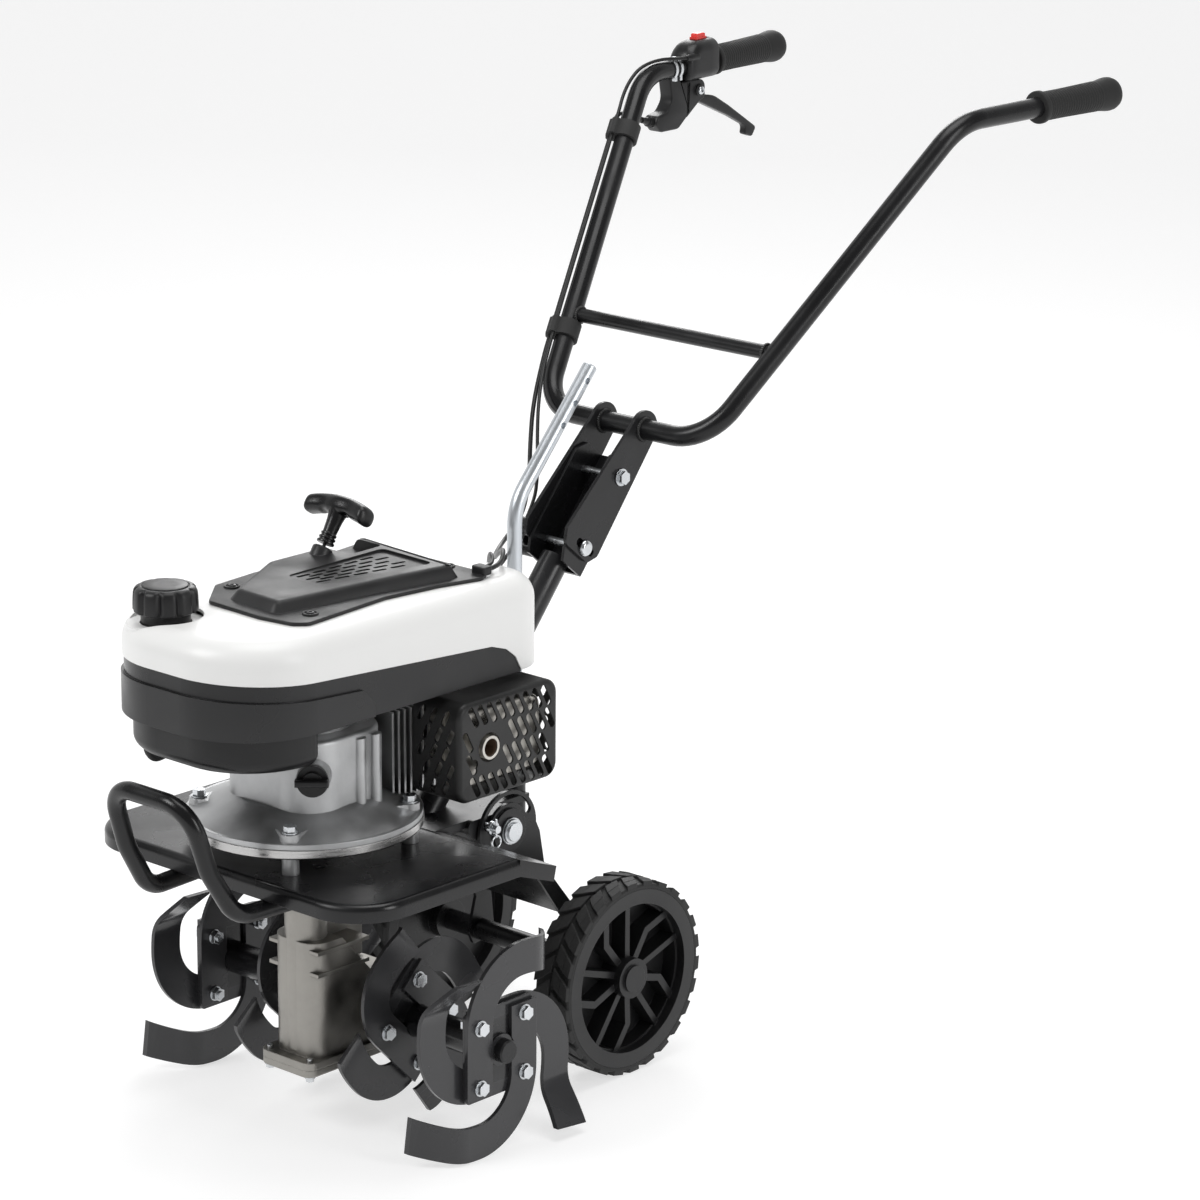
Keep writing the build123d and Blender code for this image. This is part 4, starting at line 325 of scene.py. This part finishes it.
# ------------------------------------------------------------------ control cables
cable_route = [(-234, 692.7, 927.2), (-234, 677.2, 931.3), (-232.5, 662, 939), (-226.4, 641.2, 942), (-221, 627, 926), (-152, 449, 724),
               (-146.2, 434.9, 708.1), (-126, 396, 664), (-104, 368, 628), (-90, 352, 594), (-83, 334, 556), (-72, 286, 534), (-26, 228, 540),
               (20, 186, 562), (62, 152, 584), (84, 124, 574.5), (84, 106.1, 574.5)]
lead_route = [(-217.5, 749.7, 993.5), (-222, 732, 995), (-227, 708, 995.2), (-230.6, 684.6, 989.3), (-230.8, 667, 976.2), (-228.5, 652.6, 960.4),
              (-219.2, 635.5, 944), (-141, 434.3, 715.9),
              (-112, 390, 676), (-88, 362, 640), (-70, 344, 604), (-64, 332, 574), (-61, 284, 520), (-24, 220, 524), (16, 176, 556),
              (50, 144, 580), (76, 122, 574.5), (76, 106.1, 574.5)]
for name, route, r in (("throttle_cable", cable_route, 0.0025), ("stop_lead", lead_route, 0.0020)):
    line = spline_points(name, [mm(*p) for p in reversed(route)])
    tube = tube_mesh(name, line, r, cable_black)
    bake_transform(tube)
    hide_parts("control_cables")

# starter rope: pays out between its eyelet and the grip
pull = Vector((0, 0.55, 0.835)).normalized()
eyelet = mm(-62, 10, 585)
rope_pts = [eyelet + pull * (-0.010 + 0.0255 * i / 24) for i in range(25)]
rope = tube_mesh("pull_rope", rope_pts, 0.0019, rope_mat)
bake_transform(rope)
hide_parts("starter_rope")


# ------------------------------------------------------------------ tyres with a chevron tread
def tyre(name, sx, body, node):
    c = mm(sx * 135.5, 250, 107)
    half = 23.5
    verts, faces = [], []
    seg = 96
    prof = [(-half, 98.3), (-half, 101.5), (-half + 1.6, 103.4), (half - 1.6, 103.4), (half, 101.5), (half, 98.3)]
    for x, r in prof:
        for k in range(seg):
            a = 2 * math.pi * k / seg
            verts.append(c + mm(x, r * math.cos(a), r * math.sin(a)))
    n = len(prof)
    for i in range(n):
        j = (i + 1) % n
        for k in range(seg):
            q = (k + 1) % seg
            faces.append((i * seg + k, i * seg + q, j * seg + q, j * seg + k))

    def block(outline, r0, r1, shrink):
        """raised block: outline of (x, angle) points from radius r0 to r1"""
        cx = sum(p[0] for p in outline) / len(outline)
        ca = sum(p[1] for p in outline) / len(outline)
        base = len(verts)
        m = len(outline)
        for r, f in ((r0, 1.0), (r1 - 0.5, 1.0), (r1, shrink)):
            for x, a in outline:
                xx, aa = cx + (x - cx) * f, ca + (a - ca) * f
                verts.append(c + mm(xx, r * math.cos(aa), r * math.sin(aa)))
        for ring in range(2):
            for i in range(m):
                j = (i + 1) % m
                faces.append((base + ring * m + i, base + ring * m + j, base + (ring + 1) * m + j, base + (ring + 1) * m + i))
        faces.append(tuple(base + 2 * m + i for i in range(m)))

    count = 26
    step = 2 * math.pi / count
    for k in range(count):
        for side in (1, -1):
            a0 = k * step + (0.5 * step if side < 0 else 0.0)
            w, skew = step * 0.36, step * 0.62
            # inner arm of the chevron and the shoulder block that runs down the side wall
            block([(side * 1.5, a0 - w), (side * 13.0, a0 - w + skew * 0.55), (side * 13.0, a0 + w + skew * 0.55), (side * 1.5, a0 + w)],
                  103.0, 107.0, 0.94)
            block([(side * 13.0, a0 - w + skew * 0.55), (side * 23.4, a0 - w * 0.8 + skew), (side * 23.4, a0 + w * 0.8 + skew),
                   (side * 13.0, a0 + w + skew * 0.55)], 101.6, 106.8, 0.94)
    o = make(name, verts, faces, tyre_rubber)
    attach(o, body)
    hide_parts(node)
    return o


tyre("left_tread", 1, "left_wheel", "left_tyre")
tyre("right_tread", -1, "right_wheel", "right_tyre")


# ------------------------------------------------------------------ ribbed hand grips
def grip(name, sx):
    a, b = mm(sx * 227, 687, 981), mm(sx * 243, 931, 985)
    t = (b - a).normalized()
    start = b + t * (0.011 - 0.130)
    prof = [(0.0, 11.13), (0.0, 16.9), (0.8, 18.0), (2.0, 18.2), (5.0, 18.2), (6.2, 17.6), (7.0, 15.7)]
    s = 9.0
    while s < 96.0:
        base = 15.3 + 0.9 * max(0.0, (s - 40) / 56.0)
        prof += [(s, base + 0.35), (s + 0.5, base + 0.75), (s + 1.9, base + 0.75), (s + 2.4, base + 0.35), (s + 2.9, base), (s + 3.4, base)]
        s += 4.0
    prof += [(98.0, 16.6), (106.0, 17.6), (112.0, 18.5), (117.0, 18.8), (121.0, 18.4), (125.0, 16.9), (128.2, 14.0), (129.6, 10.0), (130.0, 5.0),
             (130.0, 0.05), (119.3, 0.05), (119.3, 11.13)]
    v, f = lathe(start, t, [(x * 0.001, r * 0.001) for x, r in prof], 56)
    o = make(name, v, f, rubber)
    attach(o, "handle")
    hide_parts("grips")
    return o


grip("left_grip", 1)
grip("right_grip", -1)


# ------------------------------------------------------------------ moulded pieces
def rounded(points, radii, seg=7):
    """closed outline in a plane with each corner rounded by its own radius"""
    out = []
    n = len(points)
    for i in range(n):
        p, a, b = Vector(points[i]), Vector(points[i - 1]), Vector(points[(i + 1) % n])
        r = radii[i] if isinstance(radii, (list, tuple)) else radii
        u, v = a - p, b - p
        lu, lv = u.length, v.length
        u.normalize()
        v.normalize()
        ang = u.angle(v)
        if r <= 0 or ang > math.radians(177):
            out.append(p)
            continue
        t = min(r / math.tan(ang / 2), 0.48 * lu, 0.48 * lv)
        rr = t * math.tan(ang / 2)
        c = p + (u + v).normalized() * (rr / math.sin(ang / 2))
        va, vb = p + u * t - c, p + v * t - c
        for k in range(seg + 1):
            out.append(c + va.lerp(vb, k / seg).normalized() * rr)
    return out


def plate(outline, origin, u, v, depth, rim, thin=None):
    """closed plate of an outline in the plane of u and v, centred on that plane, with rounded rims: thin(point) scales its depth"""
    u, v = Vector(u), Vector(v)
    w = u.cross(v)
    o = Vector(origin)
    m = len(outline)
    area2 = sum(outline[i - 1].x * outline[i].y - outline[i].x * outline[i - 1].y for i in range(m))
    sign = 1 if area2 > 0 else -1
    norm = []
    for i in range(m):
        t = (outline[(i + 1) % m] - outline[i - 1]).normalized()
        norm.append(Vector((-t.y, t.x)) * sign)
    rings = []
    for k in range(5):
        a = math.pi / 2 * k / 4
        rings.append((rim * (1 - math.sin(a)), -depth / 2 + rim * (1 - math.cos(a))))
    rings += [(i, -h) for i, h in reversed(rings)]
    verts, faces = [], []
    for inset, h in rings:
        for p, q in zip(outline, norm):
            s = thin(p) if thin else 1.0
            d = p + q * inset
            verts.append(o + (u * d.x + v * d.y + w * h * s) * 0.001)
    for i in range(len(rings) - 1):
        for k in range(m):
            q = (k + 1) % m
            faces.append((i * m + k, i * m + q, (i + 1) * m + q, (i + 1) * m + k))
    faces.append(tuple(range(m))[::-1])
    faces.append(tuple(range((len(rings) - 1) * m, len(rings) * m)))
    return verts, faces


def joined(*parts):
    """several closed shells as one list of points and faces"""
    verts, faces = [], []
    for v, f in parts:
        n = len(verts)
        verts += v
        faces += [tuple(i + n for i in face) for face in f]
    return verts, faces


def turned(origin, d, profile, seg=48):
    return lathe(origin, d, [(s * 0.001, r * 0.001) for s, r in profile], seg)


def add_piece(name, shape, mat, body, slot, *nodes):
    o = make(name, shape[0], shape[1], mat)
    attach(o, body)
    if nodes:
        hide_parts(*nodes)
    return o


Y, Z = (0, 1, 0), (0, 0, 1)
lever_p = Vector((-234.0, 779.0, 953.0))

# squeeze lever: curved blade with a hooked tip, hub on the pivot pin
blade = rounded([(773.5, 946.5), (786, 947), (812, 942.5), (838, 928), (866, 910.5), (889, 896), (881.5, 885), (868, 889.5), (870, 899.5), (842, 913.5),
                 (806, 929), (790, 936)],
                [2, 20, 40, 90, 90, 4, 4, 3, 7, 90, 40, 10], 9)
hub = turned(lever_p * 0.001 - Vector((0.006, 0, 0)), (1, 0, 0), [(0, 3.05), (0, 7.2), (0.8, 8), (11.2, 8), (12, 7.2), (12, 3.05)])
add_piece("squeeze_lever", joined(plate(blade, mm(-234, 0, 0), Y, Z, 12, 2.6, lambda p: 1.0 - 0.16 * max(0.0, min(1.0, (p.x - 800) / 90))), hub),
          knob_black, "lever", "dark_plastic", "throttle_lever")

# lever bracket: moulded body under the tube, two cheeks for the lever, pivot boss, ribbed adjuster
body_line = rounded([(729, 973.5), (748, 973), (749, 965.5), (765, 965.5), (765, 928), (745, 911.5), (715, 911), (706, 921), (709.5, 930), (724, 933), (734, 946)],
                    [3, 2, 2, 1, 1, 9, 7, 4, 3, 12, 14], 7)
cheek_line = rounded([(758, 965.5), (771, 965.5), (790, 965), (790, 943), (781, 940), (758, 922.5)], [1, 6, 11, 10, 8, 1], 7)
bracket = [plate(body_line, mm(-234, 0, 0), Y, Z, 20, 2.6)]
for sx in (1, -1):
    bracket.append(plate(cheek_line, mm(-234 + sx * 8.35, 0, 0), Y, Z, 3.3, 1.2))
    bracket.append(turned((lever_p + Vector((sx * 9.6, 0, 0))) * 0.001, (sx, 0, 0), [(0, 0.05), (0, 7.0), (2.6, 7.0), (3.4, 6.2), (3.4, 0.05)], 40))
bracket.append(turned((lever_p - Vector((9, 0, 0))) * 0.001, (1, 0, 0), [(0, 0.05), (0, 3.0), (18, 3.0), (18, 0.05)], 28))
ring = [(0, 0.05), (0, 6.2), (1.0, 6.6), (3.0, 6.6)]
for k in range(3):
    ring += [(3.4 + 2.2 * k, 5.2), (4.2 + 2.2 * k, 5.2), (4.6 + 2.2 * k, 6.2), (5.4 + 2.2 * k, 6.2)]
bracket.append(turned(mm(-234, 711, 922.3), (0, -0.966, 0.259), ring + [(11.0, 4.6), (13, 4.0), (20.3, 3.6), (20.3, 0.05)], 36))
add_piece("lever_housing", joined(*bracket), knob_black, "handle", "dark_plastic", "lever_bracket")

# pivot screw and the two bands that hold the bracket on its tube
screw = [turned((lever_p + Vector((sx * 12.8, 0, 0))) * 0.001, (sx, 0, 0), [(0, 0.05), (0, 4.9), (1.4, 4.9), (2.4, 4.2), (2.9, 3.0), (2.9, 2.1), (1.2, 1.9), (1.2, 0.05)], 36)
         for sx in (1, -1)]
add_piece("lever_screw", joined(*screw), zinc, "handle", "zinc_steel")
bend_p = Vector((-227, 687, 981))
hand_t = (Vector((-243, 931, 985)) - bend_p).normalized()
bands = [turned((bend_p + hand_t * s) * 0.001, hand_t, [(0, 11.15), (0, 12.5), (0.5, 13.0), (3.7, 13.0), (4.2, 12.5), (4.2, 11.15)], 56) for s in (44.5, 54.0)]
bands += [plate(rounded([(s, -13.5), (s + 4.2, -13.5), (s + 4.2, -6), (s, -6)], 0.6, 3), bend_p * 0.001, hand_t, Vector((0, -0.0164, 1)).normalized(), 21.2, 0.5)
          for s in (44.5, 54.0)]
add_piece("bracket_bands", joined(*bands), zinc, "handle", "zinc_steel")

# pull grip: bowed bar with finger hollows underneath, ribbed stem
grip_c = eyelet + pull * 0.050
vee = Vector((0, pull.z, -pull.y))
verts, faces = [], []
rows, seg = 57, 36
for i in range(rows):
    x = -43.0 + 86.0 * i / (rows - 1)
    a = abs(x)
    end = math.sqrt(max(0.0, 1 - (max(0.0, a - 38.0) / 5.0) ** 2))
    hv = (11.8 - 1.4 * math.sin(math.pi * min(a, 38) / 38) ** 2) * (0.42 + 0.58 * end)
    hw = (10.2 - 0.6 * (a / 43) ** 2) * (0.42 + 0.58 * end)
    cw = 1.0 - 6.6 * (a / 43) ** 2.2
    hollow = 2.2 * max(0.0, math.sin(math.pi * (a - 9) / 13)) if 9 < a < 35 else 0.0
    for k in range(seg):
        t = 2 * math.pi * k / seg
        c, s = math.cos(t), math.sin(t)
        pv = hv * math.copysign(abs(c) ** 0.75, c)
        pw = hw * math.copysign(abs(s) ** 0.75, s)
        if s < 0:
            pw += abs(hollow) * (-s) ** 1.5
        verts.append(grip_c + Vector((x, 0, 0)) * 0.001 + vee * pv * 0.001 + pull * (cw + pw) * 0.001)
for i in range(rows - 1):
    for k in range(seg):
        q = (k + 1) % seg
        faces.append((i * seg + k, i * seg + q, (i + 1) * seg + q, (i + 1) * seg + k))
faces.append(tuple(range(seg))[::-1])
faces.append(tuple(range((rows - 1) * seg, rows * seg)))
stem = turned(eyelet, pull, [(8.2, 2.05), (8.2, 9.0), (8.8, 9.5), (10.6, 9.5), (11.3, 8.0), (12.6, 8.0), (13.3, 9.0), (15.0, 9.0), (15.7, 7.5), (17.0, 7.5), (17.7, 8.5),
                             (19.4, 8.5), (20.1, 7.4), (22, 7.5), (34, 8.4), (39, 9.2), (43, 10.2), (47, 10.9), (50, 11.0), (50, 2.05)], 40)
add_piece("pull_grip", joined((verts, faces), stem), knob_black, "starter_grip", "dark_plastic", "starter_handle")

# filler cap: broad lobes with narrow grooves, raised disc on top, plain collar below
cap_o = mm(-50, -218, 567)
cap_rings = [(-6.8, 0.05, 0), (-6.8, 24.6, 0), (-6.2, 25.0, 0), (4.0, 25.0, 0), (4.2, 29.6, 1.4), (4.8, 31.6, 2.8), (6.4, 33.0, 3.6), (12.0, 33.0, 3.6),
             (18.0, 32.8, 3.6), (24.0, 32.3, 3.5), (27.0, 31.4, 3.0), (29.0, 29.6, 2.2), (30.0, 27.4, 1.0), (30.3, 25.6, 0.2), (30.3, 24.4, 0), (29.5, 24.0, 0),
             (29.5, 23.2, 0), (31.1, 22.6, 0), (31.5, 21.4, 0), (31.5, 12.0, 0), (31.5, 0.05, 0)]
verts, faces = [], []
seg, lobes = 160, 10
for z, r, g in cap_rings:
    for k in range(seg):
        a = 2 * math.pi * k / seg
        off = ((a * lobes / (2 * math.pi)) % 1.0) - 0.5
        rr = r - g * math.exp(-(off / 0.13) ** 2)
        verts.append(cap_o + mm(rr * math.cos(a), rr * math.sin(a), z))
for i in range(len(cap_rings)):
    j = (i + 1) % len(cap_rings)
    for k in range(seg):
        q = (k + 1) % seg
        faces.append((i * seg + k, i * seg + q, j * seg + q, j * seg + k))
add_piece("filler_cap", (verts, faces), knob_black, "fuel_filler", "dark_plastic", "fuel_cap")



def cut(shape, *tools):
    """closed shell with other closed shells taken out of it, one after another"""
    o = make("cut_body", shape[0], shape[1], panel_black)
    made = [o]
    for v, f in tools:
        t = make("cut_tool", v, f, panel_black)
        made.append(t)
        md = o.modifiers.new("cut", "BOOLEAN")
        md.operation, md.solver, md.object = "DIFFERENCE", "EXACT", t
    bpy.context.view_layer.update()
    me = bpy.data.meshes.new_from_object(o.evaluated_get(bpy.context.evaluated_depsgraph_get()))
    verts, faces = [q.co.copy() for q in me.vertices], [tuple(q.vertices) for q in me.polygons]
    for t in made:
        bpy.data.objects.remove(t)
    bpy.data.meshes.remove(me)
    return verts, faces


def slot_line(x, y, length, width, turn):
    """outline of a slot with round ends"""
    r = width / 2
    pts = []
    for side in (1, -1):
        for k in range(9):
            a = -math.pi / 2 + math.pi * k / 8 + (0 if side > 0 else math.pi)
            pts.append(Vector((side * (length / 2 - r) + r * math.cos(a), r * math.sin(a))))
    c, q = math.cos(math.radians(turn)), math.sin(math.radians(turn))
    return [Vector((x + p.x * c - p.y * q, y + p.x * q + p.y * c)) for p in pts]


# starter panel: thin flange, raised plateau with soft shoulders, sunk field of vent slots, well for the rope eyelet
X = (1, 0, 0)
flange_line = rounded([(-46, -164), (30, -168), (72, -162), (84, -150), (80, -110), (72, -32), (80, 36), (93, 88), (84, 104), (-84, 104), (-93, 88), (-86, 30),
                       (-90, -60), (-84, -120)], 9, 5)
plateau_line = rounded([(-34, -148), (40, -153), (48, -100), (58, -30), (78, 72), (-78, 86), (-84, 10), (-86, -50)], [16, 12, 30, 40, 8, 8, 40, 24], 6)
m = len(plateau_line)
inward = []
for i in range(m):
    t = (plateau_line[(i + 1) % m] - plateau_line[i - 1]).normalized()
    inward.append(Vector((-t.y, t.x)))
if sum(plateau_line[i - 1].x * plateau_line[i].y - plateau_line[i].x * plateau_line[i - 1].y for i in range(m)) < 0:
    inward = [-q for q in inward]


def deck(y):
    """height of the plateau over its flange, lower towards the front"""
    return 12.2 + 0.0125 * (y + 40)


verts, faces = [], []
levels = [(0.0, -0.6), (0.0, 0.0), (5.2, 0.66), (6.6, 0.81), (8.2, 0.92), (10.0, 0.98), (12.0, 1.0)]
for inset, f in levels:
    for q, w in zip(plateau_line, inward):
        d = q + w * inset
        verts.append(mm(d.x, d.y, 570.8 + (deck(d.y) * f if f > 0 else f)))
for i in range(len(levels) - 1):
    for k in range(m):
        q = (k + 1) % m
        faces.append((i * m + k, i * m + q, (i + 1) * m + q, (i + 1) * m + k))
faces.append(tuple(range(m))[::-1])
faces.append(tuple(range((len(levels) - 1) * m, len(levels) * m)))
field = plate(rounded([(-26, -74), (22, -78), (52, 58), (-26, 62)], 7, 5), mm(0, 0, 588.4), X, Y, 14, 0.4)
well = plate(rounded([(-86, 24), (-34, 24), (-34, 70), (-86, 70)], 6, 5), mm(0, 0, 582), X, Y, 18, 0.4)
slots_v = []
for row in range(5):
    for col in range(6):
        y = -60 + col * 22.5 + (row % 2) * 10.5
        x = -17 + row * 9.6 + (y + 8) * 0.09 * row / 2
        if y < 52 and x < 16 + 0.215 * (y + 74):
            slots_v.append(plate(slot_line(x, y, 17.5, 4.6, 87 - 2.2 * row), mm(0, 0, 582), X, Y, 16, 0.2))
top = cut((verts, faces), joined(field, well), joined(*slots_v))
eye = turned(eyelet, pull, [(-12, 3.0), (-12, 11.0), (1.6, 11.0), (3.2, 10.4), (4.0, 9.2), (4.0, 5.0), (2.2, 3.4), (0.5, 3.0)], 44)
gland = plate(rounded([(71, 92.5), (90, 92.5), (90, 105.6), (71, 105.6)], 3, 4), mm(0, 0, 574.3), X, Y, 9, 1.6)
stud = [turned(mm(0, -79, 534), (0, 0, 1), [(0, 0.05), (0, 13), (38, 13), (38, 0.05)], 36), turned(mm(0, -79, 510), (0, 0, 1), [(0, 0.05), (0, 5.95), (26, 5.95), (26, 0.05)], 36),
        turned(mm(0, -79, 508), (0, 0, 1), [(0, 0.05), (0, 9), (4, 9), (4, 0.05)], 36)]
add_piece("starter_panel", joined(plate(flange_line, mm(0, 0, 569), X, Y, 4, 1.3), top, eye, gland, *stud), panel_black, "chassis", "dark_plastic", "starter_cover")

# switch housing on the right hand tube: round nose towards the bend, well for the slider, sleeve for its lead
side_v = Vector((-hand_t.y, hand_t.x, 0)).normalized()
up_v = hand_t.cross(side_v)
if up_v.z < 0:
    side_v, up_v = -side_v, -up_v
verts, faces = [], []
stations = [(66.0, 11.8, -12.6, 12.2), (66.4, 13.2, -14.0, 13.6), (68.0, 16.2, -15.6, 15.4), (70.5, 19.4, -16.6, 16.7), (74.0, 22.6, -17, 17.3), (78.5, 25.4, -17, 17.5),
            (84.0, 27.3, -17, 17.5), (90.0, 28, -17, 17.5), (104.0, 28, -17, 17.5), (117.5, 28, -17, 17.5), (119.6, 27.3, -16.3, 16.8), (120.7, 25.8, -14.8, 15.3),
            (121.0, 24.0, -13.0, 13.5)]
for st, hi_, lo_, hw_ in stations:
    ring = rounded([(-hw_, lo_), (hw_, lo_), (hw_, hi_), (-hw_, hi_)], [11, 11, 13, 13], 8)
    for q in ring:
        verts.append((bend_p + hand_t * st + side_v * q.x + up_v * q.y) * 0.001)
m = len(ring)
for i in range(len(stations) - 1):
    for k in range(m):
        q = (k + 1) % m
        faces.append((i * m + k, i * m + q, (i + 1) * m + q, (i + 1) * m + k))
faces.append(tuple(range(m))[::-1])
faces.append(tuple(range((len(stations) - 1) * m, len(stations) * m)))
well = plate(rounded([(91, -5.3), (117, -5.3), (117, 5.3), (91, 5.3)], 0.8, 3), (bend_p + up_v * 29.4) * 0.001, hand_t, side_v, 11, 0.1)
sleeve = turned(mm(-217.5, 749.4, 993.5), hand_t, [(0, 0.05), (0, 3.0), (1.0, 3.4), (9, 4.6), (20, 5.0), (20, 0.05)], 24)
add_piece("switch_box", joined(cut((verts, faces), well), sleeve), knob_black, "handle", "dark_plastic", "switch_housing")

# screws of the starter panel in their raised rings
rings_p, screws_p = [], []
for x, y in ((-66, -113), (63, -128), (38, 92), (-60, 95)):
    at = mm(x, y, 570.8)
    rings_p.append(turned(at, (0, 0, 1), [(0, 6.2), (0, 8.6), (1.4, 8.4), (2.0, 7.8), (2.0, 6.8), (1.6, 6.2)], 40))
    screws_p.append(turned(at, (0, 0, 1), [(0, 0.05), (0, 5.6), (0.8, 5.6), (1.2, 4.3), (2.4, 4.1), (2.8, 3.4), (2.8, 2.0), (1.2, 1.9), (1.2, 0.05)], 30))
add_piece("panel_screw_seats", joined(*rings_p), panel_black, "chassis", "dark_plastic")
add_piece("panel_screws", joined(*screws_p), screw_black, "chassis", "zinc_steel")


# ------------------------------------------------------------------ weld beads
def bead(name, centre, d, ring_r, r, body, waves=36):
    """weld bead: ring of overlapping ripples"""
    d, x, y = basis(d)
    c = Vector(centre)
    seg, sec = waves * 4, 8
    verts, faces = [], []
    for k in range(seg):
        a = 2 * math.pi * k / seg
        rad = x * math.cos(a) + y * math.sin(a)
        rr = r * (1 + 0.16 * math.sin(waves * a))
        for s in range(sec):
            b = 2 * math.pi * s / sec
            verts.append(c + rad * (ring_r + rr * math.cos(b)) + d * rr * math.sin(b))
    for k in range(seg):
        q = (k + 1) % seg
        for s in range(sec):
            u = (s + 1) % sec
            faces.append((k * sec + s, k * sec + u, q * sec + u, q * sec + s))
    o = make(name, verts, faces, weld)
    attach(o, body)
    return o


for i, x in enumerate((31.6, 26.4, -26.4, -31.6)):
    bead(f"cheek_weld_{i}", mm(x, 404, 660), (1, 0, 0), 0.0116, 0.0021, "handle")
for i, sx in enumerate((1, -1)):
    bead(f"cross_weld_{i}", mm(sx * 134.6, 482, 748), (1, 0, 0), 0.0086, 0.0018, "handle", 26)

# soot inside the silencer's outlet
v, f = lathe(mm(124, 47, 409), (1, 0, 0), [(0.0, 0.0005), (0.0, 0.0094), (0.0175, 0.0094), (0.0175, 0.0090), (0.0012, 0.0088), (0.0012, 0.0005)], 40)
o = make("outlet_soot", v, f, soot)
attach(o, "chassis")

# ------------------------------------------------------------------ floor and light
floor_mat, nt, b = new_mat("floor_pale")
tc = nt.nodes.new("ShaderNodeTexCoord")
nz = nt.nodes.new("ShaderNodeTexNoise")
nz.inputs["Scale"].default_value = 1.3
nt.links.new(tc.outputs["Object"], nz.inputs["Vector"])
rp = nt.nodes.new("ShaderNodeValToRGB")
rp.color_ramp.elements[0].color = (0.45, 0.45, 0.452, 1)
rp.color_ramp.elements[1].color = (0.465, 0.465, 0.467, 1)
nt.links.new(nz.outputs["Fac"], rp.inputs["Fac"])
nt.links.new(rp.outputs["Color"], b.inputs["Base Color"])
b.inputs["Roughness"].default_value = 0.9
b.inputs["Specular IOR Level"].default_value = 0.1
b.inputs["Emission Color"].default_value = (1.0, 1.0, 1.0, 1)
b.inputs["Emission Strength"].default_value = 0.64
size, rise, steps = 60.0, 3.0, 24
verts, faces = [], []
line = [(-size, 0.0), (3.2, 0.0)]
for i in range(1, steps + 1):
    a = math.pi / 2 * i / steps
    line.append((3.2 + rise * math.sin(a), rise * (1 - math.cos(a))))
line.append((3.2 + rise, 9.0))
away = -Vector((back.x, back.y, 0)).normalized()
side = Vector((-away.y, away.x, 0))
for u, z in line:
    for s in (-size, size):
        verts.append(away * u + side * s + Vector((0, 0, z - 0.0005)))
for i in range(len(line) - 1):
    faces.append((2 * i, 2 * i + 1, 2 * i + 3, 2 * i + 2))
floor = make("floor", verts, faces, floor_mat)

world = bpy.data.worlds.new("studio")
scene.world = world
world.use_nodes = True
bg = world.node_tree.nodes["Background"]
bg.inputs["Color"].default_value = (1.0, 1.0, 1.0, 1)
bg.inputs["Strength"].default_value = 0.24
scene.view_settings.view_transform = "Standard"
scene.view_settings.look = "None"


def area(name, at, target, size_x, size_y, power):
    d = bpy.data.lights.new(name, "AREA")
    d.shape = "RECTANGLE"
    d.size, d.size_y = size_x, size_y
    d.energy = power
    o = bpy.data.objects.new(name, d)
    scene.collection.objects.link(o)
    o.location = at
    o.rotation_euler = (Vector(target) - Vector(at)).to_track_quat("-Z", "Y").to_euler()
    return o


area("key", (-1.2, -2.6, 3.0), (0, 0.1, 0.4), 1.5, 1.5, 60)
area("fill", (3.4, 0.6, 1.6), (0, 0.1, 0.4), 1.0, 2.0, 34)
area("top", (0.2, 0.4, 3.4), (0, 0.2, 0.4), 2.0, 2.0, 44)
area("rim", (-2.0, 2.6, 2.2), (0, 0.2, 0.5), 1.4, 1.4, 30)
